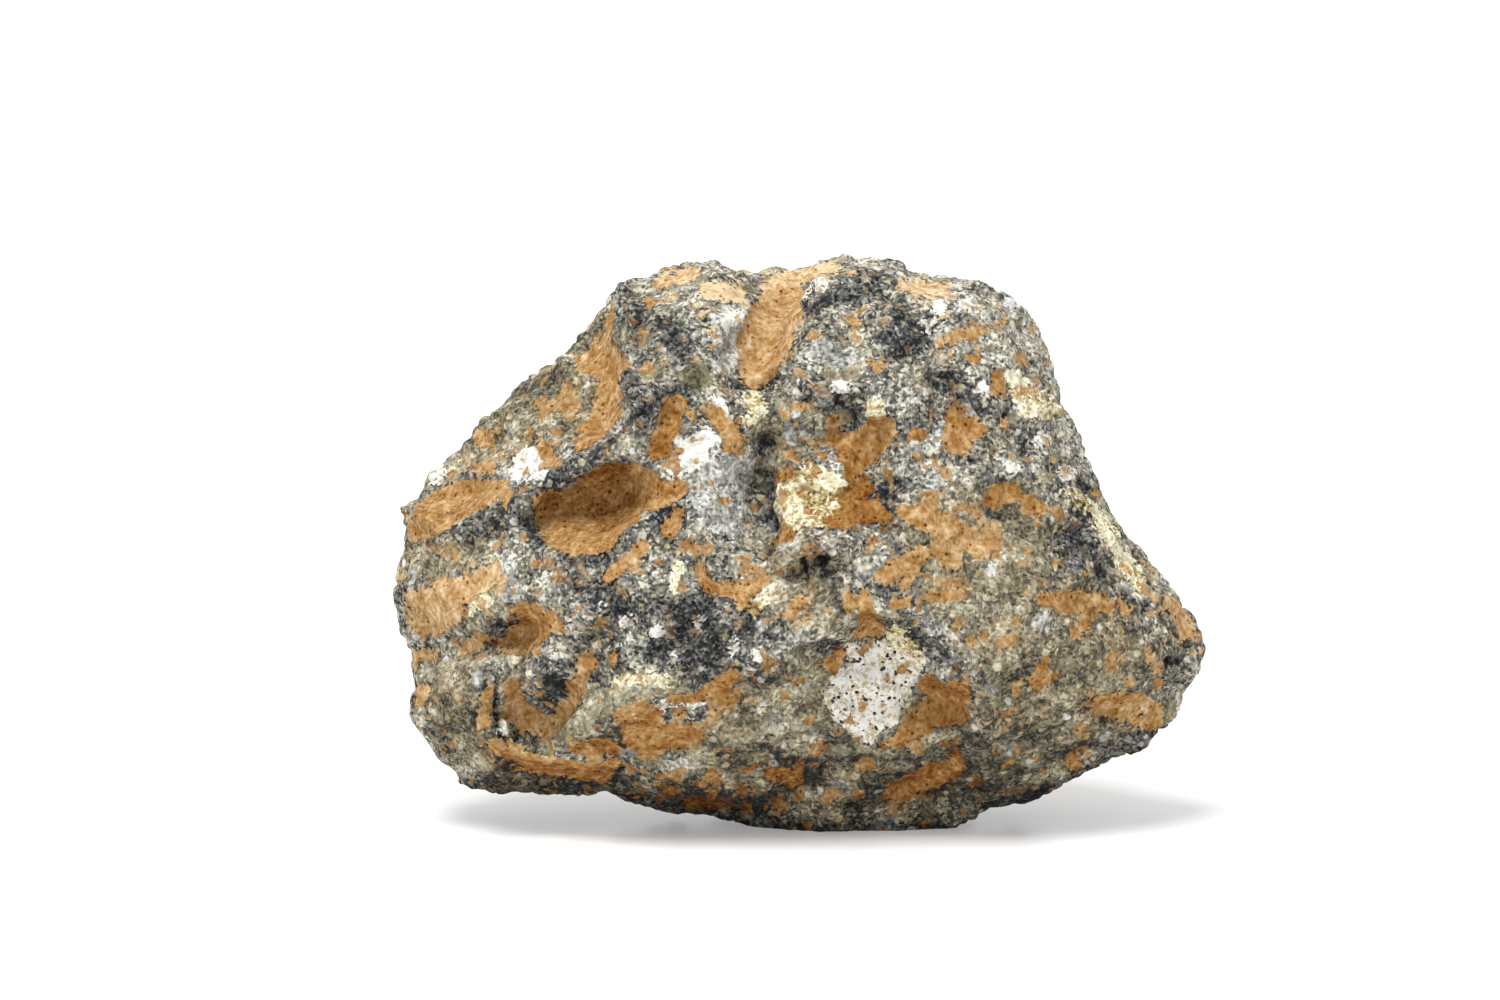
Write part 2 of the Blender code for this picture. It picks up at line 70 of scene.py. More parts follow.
# The profile line, by degrees around its centre: how far away it lies, in millimetres
CENTRE = (0.0, 10.6)
RIM_DEPTHS = [
    (-180, 0.3), (-165, 0.5), (-145, 0.3), (-130, 0.0), (-110, 0.5), (-90, -0.6), (-60, -0.6),
    (-45, 0.5), (-30, 1.0), (-15, 0.8), (0, 1.5), (20, 1.8), (40, 2.0), (55, 2.6), (70, 3.4),
    (85, 4.0), (97, 3.4), (110, 2.4), (120, 1.2), (128, 2.2), (140, 2.8), (152, 2.4),
    (165, 1.4), (172, 0.3), (180, 0.3),
]

# The patches below were read one by one. Each is a run of circles (across, down, radius) joined
# into one band, in pixels of the photograph's 1500×1000 frame.

# Desert soil: how pale it is, from 0 to 1, and its band. The paleness is partly the soil's own
# colour and partly painted light and shade: painted light on soils that face up, painted shade in
# the hollows and near the foot
SOIL = {
    "great hollow": (0.46, [(548, 505, 16), (562, 520, 26), (585, 520, 32), (610, 500, 34),
        (635, 488, 22), (655, 495, 16)]),
    "great hollow floor": (0.52, [(560, 532, 18), (580, 540, 16), (602, 538, 14)]),
    "great hollow tail": (0.5, [(650, 495, 12), (668, 492, 9), (680, 488, 6)]),
    "below the tail": (0.48, [(676, 516, 8), (670, 528, 9)]),
    "slot above": (0.42, [(676, 404, 8), (672, 420, 11), (664, 436, 12), (655, 450, 9)]),
    "slot beside": (0.48, [(704, 408, 6), (716, 416, 9), (728, 428, 10), (738, 440, 9),
        (742, 452, 5), (730, 445, 8)]),
    "upper left face": (0.55, [(582, 360, 10), (600, 358, 18), (615, 366, 14)]),
    "upper left fall": (0.53, [(612, 375, 12), (606, 395, 13), (603, 412, 12), (596, 425, 11),
        (590, 430, 12), (580, 442, 8)]),
    "upper left streak": (0.55, [(609, 312, 4), (606, 328, 5), (600, 342, 8)]),
    "left fleck run": (0.52, [(540, 440, 5), (546, 452, 5), (552, 462, 5)]),
    "left small": (0.55, [(476, 464, 6), (488, 464, 6)]),
    "left ledge": (0.54, [(425, 515, 14), (440, 500, 14), (460, 495, 16), (480, 492, 14),
        (500, 488, 10), (505, 500, 8)]),
    "left ledge foot": (0.52, [(415, 530, 12), (435, 525, 10), (455, 515, 8)]),
    "chute": (0.61, [(784, 294, 21), (779, 310, 24), (771, 330, 26), (762, 350, 22), (757, 364, 17),
        (752, 374, 11)]),
    "chute head": (0.92, [(775, 280, 8), (795, 275, 9), (815, 270, 8), (835, 266, 6)]),
    "top left": (0.8, [(660, 280, 7), (680, 274, 9), (694, 270, 6)]),
    "top left shelf": (0.95, [(706, 288, 8), (724, 289, 10), (742, 294, 8)]),
    "below the heart block": (0.45, [(775, 475, 7), (790, 472, 5)]),
    "cream block foot": (0.42, [(785, 532, 9), (772, 538, 5)]),
    "top slash": (0.88, [(903, 282, 7), (918, 286, 8), (932, 289, 8), (944, 288, 7)]),
    "second slash": (0.64, [(940, 341, 5), (955, 335, 7), (970, 331, 7), (984, 330, 6)]),
    "little branch": (0.58, [(872, 358, 4), (880, 366, 5), (892, 356, 4)]),
    "little slant": (0.55, [(1022, 358, 6), (1030, 362, 4)]),
    "teardrop": (0.5, [(1001, 375, 4), (1000, 386, 8), (998, 395, 5)]),
    "heart left lobe": (0.48, [(833, 424, 9), (832, 438, 7), (845, 445, 10), (860, 440, 10)]),
    "heart right lobe": (0.52, [(868, 445, 12), (878, 432, 15), (888, 430, 8), (868, 452, 12)]),
    "heart stem": (0.26, [(853, 460, 12), (856, 475, 10), (862, 488, 10)]),
    "heart foot": (0.3, [(835, 518, 9), (845, 522, 9), (850, 500, 14), (870, 510, 14),
        (885, 515, 7)]),
    "oval": (0.45, [(916, 434, 6), (925, 433, 6)]),
    "triangle": (0.44, [(955, 412, 8), (958, 428, 13), (972, 428, 12), (982, 430, 7)]),
    "triangle foot": (0.48, [(952, 444, 8), (966, 445, 8)]),
    "right pair": (0.5, [(1000, 490, 10), (1014, 492, 9), (992, 500, 7)]),
    "right pair below": (0.5, [(1032, 502, 10), (1042, 506, 7)]),
    "left flank": (0.72, [(415, 600, 14), (430, 610, 14), (445, 600, 14), (460, 590, 13),
        (478, 580, 12), (492, 575, 9)]),
    "left flank foot": (0.66, [(412, 620, 8), (425, 630, 8), (450, 620, 9), (440, 585, 10)]),
    "valley": (0.5, [(522, 612, 10), (545, 620, 10), (555, 628, 7), (535, 630, 12), (515, 640, 12),
        (502, 645, 8), (528, 648, 6)]),
    "left valley": (0.6, [(412, 668, 5), (414, 655, 6), (425, 655, 7)]),
    "block head": (0.62, [(462, 648, 7), (478, 642, 7), (490, 640, 6)]),
    "block side": (0.62, [(425, 690, 6), (418, 700, 5)]),
    "block right": (0.58, [(489, 690, 6), (486, 705, 7), (482, 722, 6)]),
    "ring pit": (0.6, [(512, 690, 8), (515, 708, 11), (530, 722, 12), (548, 728, 9), (560, 718, 10),
        (572, 700, 7), (575, 688, 6)]),
    "ring pit head": (0.5, [(592, 664, 7), (583, 660, 7), (582, 675, 6)]),
    "ridge nick": (0.52, [(612, 655, 4), (610, 665, 5)]),
    "under ridge left": (0.56, [(620, 716, 8), (640, 712, 12), (655, 722, 12), (650, 740, 14)]),
    "under ridge": (0.58, [(632, 735, 12), (650, 742, 13), (672, 735, 14), (690, 738, 11),
        (665, 750, 6), (645, 755, 8)]),
    "ridge end": (0.5, [(672, 700, 6), (690, 697, 8), (710, 692, 8), (726, 684, 9), (732, 675, 7)]),
    "bottom band": (0.6, [(492, 750, 8), (510, 752, 10), (530, 762, 11), (552, 768, 11),
        (575, 772, 11), (600, 775, 11), (610, 765, 9)]),
    "bottom band top": (0.52, [(575, 748, 7), (590, 755, 8), (600, 750, 9), (612, 752, 7)]),
    "belly recess": (0.52, [(702, 568, 6), (706, 582, 9), (722, 588, 9), (738, 590, 7),
        (752, 586, 7), (765, 575, 6)]),
    "spine foot": (0.55, [(640, 545, 6), (630, 558, 8), (618, 568, 6), (608, 578, 5)]),
    "base flecks": (0.42, [(772, 775, 6), (785, 778, 7), (796, 782, 6)]),
    "base dark": (0.3, [(692, 805, 7), (712, 808, 5), (728, 806, 5)]),
    "brow slope": (0.54, [(885, 575, 9), (900, 570, 11), (915, 560, 10), (925, 552, 8),
        (905, 585, 6)]),
    "slope bar": (0.52, [(932, 596, 6), (948, 595, 6), (962, 592, 6)]),
    "slope bar left": (0.52, [(896, 602, 5), (908, 601, 5)]),
    "brow drips": (0.5, [(848, 595, 6), (850, 608, 5), (864, 596, 8), (866, 608, 6), (868, 622, 8),
        (876, 632, 7), (862, 636, 5)]),
    "clast left": (0.52, [(842, 655, 5), (838, 662, 6), (832, 668, 6)]),
    "clast triangle": (0.48, [(926, 686, 8), (945, 696, 11), (962, 698, 6), (953, 714, 9),
        (930, 713, 15), (912, 730, 11), (897, 741, 7), (882, 748, 4)]),
    "lower band": (0.42, [(955, 755, 6), (955, 770, 11), (935, 778, 13), (915, 785, 12),
        (900, 793, 8), (888, 798, 5)]),
    "right little pair": (0.5, [(1003, 642, 6), (1014, 641, 6)]),
    "right bar": (0.48, [(1048, 596, 7), (1062, 602, 10), (1080, 603, 12), (1098, 600, 9),
        (1108, 606, 6)]),
    "right bar foot": (0.48, [(1095, 612, 6), (1085, 618, 7), (1078, 630, 5)]),
    "right edge pair": (0.5, [(1122, 600, 6), (1128, 610, 6)]),
    "right drop": (0.46, [(1048, 658, 6), (1045, 672, 8), (1038, 682, 8), (1052, 680, 4)]),
    "notch": (0.62, [(1090, 708, 6), (1105, 706, 8), (1122, 703, 8), (1140, 705, 10),
        (1155, 712, 9)]),
    "notch foot": (0.5, [(1120, 712, 7), (1140, 722, 7), (1160, 725, 6)]),
    "low right pair": (0.48, [(800, 768, 5), (795, 782, 7)]),
    "right middle haze": (0.58, [(902, 508, 5), (922, 518, 10), (945, 524, 12), (966, 536, 11),
        (984, 550, 8)]),
    "right middle drops": (0.58, [(935, 545, 7), (948, 556, 8), (960, 566, 5)]),
    "tan lump": (0.66, [(1172, 602, 8), (1182, 615, 10), (1190, 632, 9)]),
}

# Single flecks of soil
SOIL_FLECKS = [
    (482, 437, 8), (650, 300, 6), (646, 365, 6), (855, 321, 4), (975, 355, 6), (919, 455, 6),
    (1004, 423, 6), (1068, 470, 4), (1098, 492, 5), (797, 405, 5), (796, 425, 5), (814, 441, 4),
    (678, 716, 6), (742, 600, 7), (710, 775, 5), (860, 796, 5), (725, 700, 5), (1016, 620, 5),
    (958, 624, 6), (1150, 650, 4), (1074, 764, 8), (800, 600, 8), (1160, 687, 5), (600, 535, 18),
]
FLECK_TONE = 0.55

# White and cream fragments
WHITE = {
    "white chunk": [(675, 460, 8), (690, 448, 11), (704, 435, 9), (715, 440, 7), (688, 462, 9),
        (672, 470, 7)],
    "beside the chute": [(733, 312, 5), (726, 324, 6)],
    "left chip": [(528, 458, 11), (520, 472, 9), (538, 470, 9)],
    "left edge chip": [(438, 465, 8), (432, 478, 5)],
    "slash end": [(1008, 305, 6), (1015, 300, 5)],
    "chute streak": [(714, 400, 4), (724, 410, 4), (730, 418, 4)],
    "crack across": [(664, 703, 4), (680, 705, 4), (702, 705, 3)],
    "crack down": [(663, 708, 4), (662, 722, 3), (658, 735, 4)],
    "ring chips": [(501, 722, 4), (503, 732, 4)],
    "chute ridge": [(803, 305, 2), (812, 292, 2), (824, 282, 3)],
}
WHITE_CHIPS = [
    (983, 388, 7), (940, 304, 8), (964, 303, 8), (930, 320, 7), (840, 388, 8), (1069, 472, 8),
    (1014, 468, 7), (1043, 439, 8), (456, 518, 8), (626, 622, 9), (731, 646, 7), (758, 655, 7),
    (674, 661, 6), (602, 606, 5), (655, 632, 6), (700, 622, 5),
]
CREAM = {
    "cream block": [(800, 485, 16), (785, 500, 16), (810, 505, 18), (840, 490, 13), (820, 478, 14),
        (808, 470, 8)],
    "cream block foot": [(790, 520, 12), (820, 515, 10), (835, 500, 14)],
    "beside the groove": [(752, 400, 9), (760, 410, 8), (745, 420, 6)],
    "above the heart": [(872, 415, 8), (866, 408, 8), (880, 405, 9)],
    "left of the heart": [(819, 418, 5), (822, 428, 4)],
    "right edge": [(1068, 492, 6), (1085, 502, 6), (1098, 515, 7), (1108, 528, 7), (1118, 548, 9),
        (1128, 562, 9), (1138, 577, 9), (1142, 590, 6)],
    "wedge": [(772, 590, 4), (762, 598, 5), (755, 608, 5)],
    "belly streak": [(678, 565, 5), (676, 578, 5), (674, 588, 4)],
    "left flank chip": [(475, 602, 8), (470, 612, 6), (485, 600, 6)],
    "clast cap": [(893, 634, 7), (905, 648, 8), (918, 660, 6)],
    "upper right": [(1012, 376, 6), (1022, 390, 11), (1038, 403, 14), (1048, 409, 12),
        (1028, 410, 8)],
    "ridge crest": [(608, 684, 3), (628, 677, 4), (650, 675, 4), (668, 680, 3)],
}

# The big white fragment that black grains dot
DOTTED = {
    "dotted clast": [(858, 654, 9), (880, 656, 14), (902, 670, 16), (888, 688, 24), (862, 680, 22),
        (846, 682, 14), (838, 698, 13), (862, 700, 26), (882, 714, 18), (866, 722, 18),
        (870, 740, 6), (846, 716, 14)],
}

# Pale grey fragments
GREY = {
    "sparkling block": [(740, 470, 16), (720, 475, 20), (700, 480, 18), (715, 505, 20),
        (735, 530, 12)],
    "sparkling block side": [(740, 480, 14), (740, 500, 16)],
    "beside the chute": [(738, 308, 9), (730, 322, 14), (726, 338, 15), (728, 354, 13),
        (731, 366, 8)],
    "upper pale": [(815, 350, 8), (832, 355, 12), (850, 348, 9), (840, 365, 8)],
    "bottom chip": [(570, 764, 4), (582, 765, 5), (593, 767, 4)],
    "left flank chip": [(505, 598, 8), (513, 595, 12)],
}
GREY_CHIPS = [
    (915, 404, 8), (825, 398, 8), (936, 480, 10), (1078, 562, 8), (1045, 622, 11), (995, 568, 6),
    (951, 660, 7), (932, 628, 6), (960, 638, 4),
]

# Olive fragments
OLIVE = {
    "ridge": [(560, 742, 8), (580, 730, 9), (592, 712, 12), (610, 700, 14), (630, 690, 14),
        (655, 685, 14), (675, 682, 9), (690, 690, 6)],
    "ridge top": [(630, 680, 8), (650, 676, 9)],
}
OLIVE_OVALS = [(1045, 477, 8), (1038, 543, 9), (962, 616, 9)]

# Dark, coarse rock; its "groove" band is painted shade in the groove, and its "scarp" band
# painted shadow at the foot of the scarp
DARK = {
    "belly left": [(570, 590, 14), (600, 600, 18), (625, 610, 18), (650, 620, 22), (680, 620, 24)],
    "belly right": [(680, 620, 24), (710, 630, 22), (735, 625, 20), (700, 655, 16), (650, 650, 16)],
    "spine low": [(440, 535, 8), (470, 528, 8), (500, 520, 10), (520, 505, 8), (535, 492, 7),
        (553, 480, 8), (575, 468, 8), (590, 460, 9)],
    "spine high": [(590, 460, 8), (605, 452, 8), (622, 442, 8), (636, 426, 8), (642, 406, 9),
        (634, 390, 9), (625, 378, 8)],
    "corner": [(624, 290, 10), (631, 308, 13), (628, 335, 10)],
    "hollow rim": [(527, 510, 7), (534, 540, 8), (551, 554, 7), (578, 563, 7), (597, 557, 7),
        (615, 546, 8), (635, 533, 8), (655, 519, 7), (672, 507, 5)],
    "left of the chute": [(665, 325, 10), (680, 345, 12), (688, 365, 12), (690, 382, 14),
        (670, 395, 12)],
    "groove": [(765, 446, 4), (766, 470, 5), (768, 500, 6), (769, 530, 5), (764, 552, 4)],
    "arc": [(737, 408, 3), (730, 395, 3), (735, 384, 3), (750, 380, 3), (765, 383, 3)],
    "right of the chute": [(810, 310, 8), (870, 280, 11), (888, 294, 13), (904, 312, 12),
        (918, 330, 10)],
    "right block": [(930, 315, 6), (924, 332, 8), (905, 350, 8), (884, 334, 8)],
    "upper band": [(935, 375, 10), (955, 385, 12), (975, 392, 9), (990, 408, 6), (1003, 414, 5)],
    "heart left": [(805, 395, 8), (850, 400, 10), (850, 420, 8)],
    "middle": [(885, 490, 10), (905, 485, 9)],
    "right face": [(1083, 485, 8), (1085, 530, 12), (1070, 535, 10), (1090, 545, 12),
        (1105, 560, 10), (1112, 575, 8)],
    "eye": [(544, 668, 11), (556, 680, 12), (566, 668, 10)],
    "left block foot": [(515, 740, 7), (530, 748, 6)],
    "scarp": [(934, 650, 4), (948, 667, 5), (962, 686, 5), (973, 700, 6)],
}
# Single dark spots; the four under the brow, from (803, 569) on, are painted shadow under the brow
DARK_SPOTS = [
    (930, 400, 6), (995, 512, 10), (800, 652, 6), (803, 569, 9), (822, 563, 10), (828, 576, 7),
    (835, 590, 6),
]

# Black pits and the one open crack. The two brow pits are shallow, and their black is painted
# shadow under the brow
PITS = {
    "brow pit": [(798, 573, 2), (803, 566, 3)],
    "brow pit right": [(821, 564, 3), (827, 558, 3)],
    "right pit": [(1172, 662, 5), (1180, 661, 4)],
    "small pit": [(769, 738, 3), (772, 738, 3)],
}
CRACK = {
    "crack": [(497, 682, 2), (498, 700, 2), (496, 720, 2), (500, 738, 3), (508, 744, 3)],
}

# Hollows that the soil lies deep in: how deep in millimetres, and the band of each floor
HOLLOWS = {
    "great hollow": (0.4, [(560, 505, 20), (590, 505, 30), (625, 490, 26), (645, 488, 14)]),
    "slot above": (0.25, [(674, 408, 7), (666, 432, 10), (656, 448, 7)]),
    "belly recess": (0.25, [(708, 578, 8), (730, 588, 8), (758, 582, 7)]),
    "valley": (0.25, [(525, 615, 9), (545, 622, 9), (515, 640, 10)]),
    "ring pit": (0.18, [(516, 704, 9), (530, 720, 10), (552, 720, 9), (570, 700, 6)]),
    "ring pit eye": (0.3, [(543, 672, 9), (552, 664, 7)]),
    "heart": (0.15, [(835, 435, 8), (860, 445, 10), (880, 433, 12)]),
    "under ridge": (0.25, [(640, 730, 12), (665, 735, 14), (690, 738, 9)]),
    "bottom band": (0.2, [(510, 752, 8), (550, 767, 9), (600, 772, 9)]),
    "clast triangle": (0.25, [(930, 700, 12), (950, 704, 12), (915, 728, 9)]),
    "chute": (0.2, [(785, 300, 9), (775, 325, 13), (760, 355, 13)]),
    "under the brow": (0.4, [(790, 572, 8), (810, 574, 8), (828, 566, 8)]),
}

# Narrow ridges and grooves: how high in millimetres, and their bands
RIDGES = {
    "spine": (0.35, [(430, 545, 5), (470, 528, 5), (500, 520, 6), (520, 505, 6), (553, 482, 6),
        (575, 468, 6), (600, 455, 7), (625, 440, 8), (643, 415, 8), (640, 395, 8), (626, 375, 6)]),
    "hollow rim": (0.25, [(527, 510, 5), (534, 540, 6), (551, 554, 5), (578, 563, 5), (597, 557, 5),
        (615, 546, 6), (635, 533, 6), (655, 519, 5), (672, 507, 4)]),
    "beside the chute": (0.2, [(824, 276, 4), (803, 303, 4), (788, 335, 4), (776, 368, 4)]),
    "olive ridge": (0.3, [(560, 744, 7), (590, 715, 9), (620, 695, 9), (655, 682, 9),
        (690, 689, 7)]),
    "brow": (0.35, [(772, 566, 4), (788, 552, 6), (815, 547, 6), (845, 552, 5)]),
    "groove": (-0.25, [(764, 440, 3), (766, 470, 4), (768, 500, 4), (770, 530, 4), (764, 555, 3)]),
    "scarp foot": (-0.3, [(905, 618, 5), (925, 638, 5), (945, 660, 5), (962, 685, 5),
        (975, 703, 5)]),
    "clast shelf": (-0.25, [(770, 668, 4), (800, 657, 5), (822, 650, 4), (840, 645, 3)]),
}

# Fine tan rock, where the grain is softer and browner, with wide soft edges
TAN = {
    "lower right": [(1000, 590, 60), (1080, 680, 70), (1020, 730, 60), (900, 760, 50),
        (800, 720, 60), (730, 760, 40)],
    "right middle": [(960, 530, 45), (960, 580, 45), (1010, 520, 35)],
    "left flank": [(430, 560, 30), (450, 570, 34), (480, 600, 30)],
    "left block": [(455, 690, 34), (465, 720, 34), (520, 770, 30)],
    "upper left": [(450, 450, 25), (520, 400, 40), (570, 390, 34), (600, 340, 24)],
    "heart block": [(780, 420, 24), (790, 600, 24), (830, 610, 26)],
}

# Rock that is paler than the rest; its "ridge" band is painted highlight on the olive ridge's crest
PALE = {
    "top left": [(660, 285, 14), (700, 282, 18), (735, 290, 18)],
    "beside the chute": [(734, 315, 12), (728, 345, 14)],
    "left": [(430, 560, 10), (500, 600, 14)],
    "left upper": [(440, 465, 12), (500, 455, 12)],
    "right upper": [(900, 270, 8), (960, 295, 16), (1010, 320, 20), (1035, 370, 18)],
    "middle right": [(920, 510, 20), (960, 530, 24), (1000, 560, 18)],
    "middle": [(740, 550, 14), (770, 590, 14), (800, 600, 20)],
    "ridge": [(600, 698, 5), (630, 680, 6), (655, 672, 7)],
    "right edge": [(1085, 502, 10), (1110, 540, 12), (1140, 590, 12)],
    "top rim": [(740, 262, 8), (800, 258, 8), (860, 262, 8)],
}

# Soil dust that veils the rock
DUST = {
    "right middle": [(930, 510, 16), (960, 520, 22), (990, 540, 18), (950, 550, 16)],
    "middle": [(790, 615, 10), (800, 590, 10)],
    "upper left": [(560, 400, 12), (590, 400, 14)],
    "ridge end": [(720, 710, 14), (740, 700, 10)],
    "bottom": [(660, 780, 14), (720, 790, 16), (780, 795, 14)],
}

# Rock that is darker and browner, near the foot of the stone and in some other places; along
# the foot and the underside this is painted shade
DIM = {
    "foot": [(520, 785, 18), (650, 800, 18), (740, 804, 26), (850, 796, 34), (960, 804, 26),
        (1050, 795, 12)],
    "underside": [(640, 812, 14), (740, 822, 16), (860, 824, 20), (960, 820, 16)],
    "right": [(1060, 540, 30), (1090, 560, 24), (1130, 640, 24), (1000, 700, 20)],
    "nose": [(1150, 650, 20), (1180, 650, 18)],
    "lower right": [(1010, 735, 22), (1040, 715, 30)],
    "left block": [(445, 700, 20), (470, 730, 18)],
    "left flank": [(450, 560, 20)],
    "upper left": [(500, 410, 30), (545, 380, 26)],
}

# The same for the side away from the camera, in millimetres (across, up, radius), as seen
# through the stone. Nothing of it shows in the photograph.
BACK_SOIL = {
    "back hollow": (0.3, [(-6.0, 14.6, 0.9), (-4.8, 14.1, 1.5), (-3.4, 13.4, 1.5),
        (-2.2, 12.8, 1.0)]),
    "right trough": (0.45, [(6.0, 15.6, 0.7), (7.0, 14.6, 1.1), (7.9, 13.5, 1.1),
        (8.9, 12.2, 0.8)]),
    "shelf pocket": (0.55, [(-9.8, 9.5, 0.7), (-8.6, 9.8, 1.1), (-7.4, 10.2, 0.8)]),
    "low trough": (0.4, [(2.6, 4.1, 0.6), (4.2, 4.5, 0.9), (5.8, 4.8, 0.9), (7.2, 5.4, 0.5)]),
    "low pocket": (0.38, [(-4.6, 4.7, 0.6), (-3.4, 4.3, 0.7), (-2.4, 4.1, 0.4)]),
    "left face": (0.7, [(-12.6, 12.6, 0.8), (-11.6, 13.4, 0.7), (-10.6, 14.4, 0.5)]),
    "left foot": (0.6, [(-13.0, 7.4, 0.9), (-12.0, 6.6, 0.8), (-11.2, 5.4, 0.5)]),
    "upper right": (0.75, [(3.0, 18.9, 0.6), (4.2, 19.2, 0.9), (5.6, 18.9, 0.6)]),
    "upper left": (0.75, [(-5.2, 19.4, 0.8), (-3.8, 19.9, 0.7)]),
    "middle drip": (0.5, [(0.4, 15.6, 0.5), (0.9, 14.2, 0.7), (1.2, 12.9, 0.4)]),
    "right foot": (0.5, [(10.6, 5.4, 0.7), (11.9, 6.2, 0.9), (13.0, 7.2, 0.6)]),
    "right edge": (0.6, [(13.2, 10.6, 0.6), (14.0, 9.4, 0.8)]),
    "belly": (0.4, [(-0.6, 7.8, 0.5), (0.7, 7.3, 0.8), (2.0, 7.4, 0.5)]),
}
BACK_WHITE = {
    "middle lump": [(2.6, 11.4, 0.6), (3.6, 11.0, 0.8), (4.2, 10.2, 0.5)],
    "left": [(-9.8, 12.2, 0.4), (-9.2, 11.8, 0.5)],
    "upper": [(-0.8, 17.6, 0.5), (0.0, 17.9, 0.4)],
}
BACK_CREAM = {
    "right": [(10.2, 9.4, 0.6), (11.0, 8.6, 0.7)],
    "low": [(-7.2, 5.9, 0.6), (-6.4, 5.3, 0.5)],
    "upper left": [(-7.8, 16.2, 0.5), (-7.0, 16.8, 0.4)],
}
BACK_DOTTED = {"dotted clast": [(-1.8, 9.9, 0.7), (-1.1, 9.3, 0.8), (-0.6, 10.1, 0.6)]}
BACK_GREY = {
    "left": [(-5.9, 8.3, 0.6), (-5.2, 7.7, 0.7)],
    "right": [(6.6, 10.3, 0.7), (7.2, 9.5, 0.6)],
    "top": [(1.8, 20.2, 0.5), (2.5, 20.4, 0.4)],
}
BACK_OLIVE = {
    "upper": [(-9.6, 15.4, 0.8), (-8.4, 15.0, 0.7)],
    "low": [(7.4, 6.8, 0.7), (8.4, 6.4, 0.6)],
}
BACK_DARK = {
    "slant": [(-8.8, 13.2, 0.7), (-7.2, 12.0, 0.8), (-5.4, 11.2, 0.8), (-3.6, 11.0, 0.6)],
    "right": [(4.9, 13.4, 0.8), (5.2, 11.9, 0.8), (8.4, 10.8, 0.6)],
    "low": [(-1.6, 5.9, 0.6), (0.2, 5.4, 0.8), (2.2, 5.9, 0.6)],
    "right edge": [(11.8, 10.9, 0.6), (12.6, 9.8, 0.5)],
}
BACK_PALE = {
    "left": [(-12.0, 9.0, 1.2), (-10.2, 7.6, 1.0)],
    "middle": [(0.0, 12.6, 1.2), (1.8, 13.6, 1.0)],
    "right": [(8.0, 16.0, 1.2), (10.0, 13.6, 1.0)],
    "top": [(-4.4, 20.6, 0.8), (0.6, 21.0, 1.0), (5.2, 20.6, 0.8)],
}
# The back's foot is painted darker as well: painted shade
BACK_DIM = {"foot": [(-8.0, 1.0, 1.0), (0.0, 0.4, 1.4), (8.0, 1.2, 1.0)]}
BACK_TAN = {
    "left": [(-11.0, 9.6, 2.4), (-8.0, 7.0, 2.2)],
    "right": [(9.0, 7.4, 2.4), (6.0, 8.2, 2.0)],
    "top": [(-2.0, 18.6, 1.6), (2.6, 17.6, 1.6)],
}

# Each kind of patch: its bands on the front, its single spots, its bands on the back, and how
# much its edge wobbles
KINDS = {
    "white": (WHITE, WHITE_CHIPS, BACK_WHITE, 1),
    "cream": (CREAM, (), BACK_CREAM, 1),
    "dotted": (DOTTED, (), BACK_DOTTED, 1),
    "grey": (GREY, GREY_CHIPS, BACK_GREY, 1),
    "olive": (OLIVE, OLIVE_OVALS, BACK_OLIVE, 1),
    "dark": (DARK, DARK_SPOTS, BACK_DARK, 1),
    "pits": (PITS, (), {}, 0.3),
    "crack": (CRACK, (), {}, 0.3),
    "tan": (TAN, (), BACK_TAN, 4),
    "dust": (DUST, (), {}, 2),
    "pale": (PALE, (), BACK_PALE, 2),
    "dim": (DIM, (), BACK_DIM, 2),
}
CLASTS = ("white", "cream", "dotted", "grey", "olive")

FAR = 9.0  # millimetres outside a patch that count as nowhere near it
MASK_REACH = 2.0  # millimetres beyond which a patch's distance is no longer told apart
SAFE = 1e-9


def photo_place(points):
    """Across and up in the photograph, and how far in front of the profile line, in millimetres."""
    tilt = np.array(Matrix.Rotation(SIGHT_TILT, 3, "X"))
    seen = (points - np.array(STANDING_SHIFT)) @ tilt.T
    shrink = 1 + seen[:, 1] / SIGHT_DISTANCE
    across = SIGHT_AXIS[0] + (seen[:, 0] - SIGHT_AXIS[0]) / shrink
    up = SIGHT_AXIS[1] + (seen[:, 2] - SIGHT_AXIS[1]) / shrink
    angle = np.arctan2(up - CENTRE[1], across - CENTRE[0])
    degrees, depths = zip(*RIM_DEPTHS)
    ahead = np.interp(angle, np.radians(degrees), depths) - seen[:, 1]
    return across, up, ahead


def from_pixels(band):
    return [
        (
            (across - ZERO_PIXEL[0]) / PIXELS_PER_MM,
            (ZERO_PIXEL[1] - down) / PIXELS_PER_MM,
            radius / PIXELS_PER_MM,
        )
        for across, down, radius in band
    ]


def band_inside(across, up, band):
    """How deep each point lies in a run of joined circles, in millimetres; negative outside."""
    best = np.full(len(across), -FAR)
    for (x1, z1, r1), (x2, z2, r2) in zip(band, band[1:] or band):
        dx, dz = x2 - x1, z2 - z1
        along = ((across - x1) * dx + (up - z1) * dz) / (dx * dx + dz * dz + SAFE)
        along = np.clip(along, 0, 1)
        away = np.hypot(across - x1 - along * dx, up - z1 - along * dz)
        best = np.maximum(best, r1 + along * (r2 - r1) - away)
    return best


def noise_at(points, size, seed):
    """Smooth noise from about -1 to 1, with lumps of the given size in millimetres."""
    shift = Vector((seed * 17.3, seed * -9.1, seed * 5.7))
    return np.array([noise.noise(Vector(point) / size + shift) for point in points])


def crevices_at(points, size, seed):
    """How far each point is from the joints between lumps of the given size, from 0 up."""
    shift = Vector((seed * 3.1, seed * 7.7, seed * -4.9))
    gaps = np.empty(len(points))
    for i, point in enumerate(points):
        reach, _ = noise.voronoi(Vector(point) / size + shift)
        gaps[i] = reach[1] - reach[0]
    return gaps


EASING_PULL = 0.5


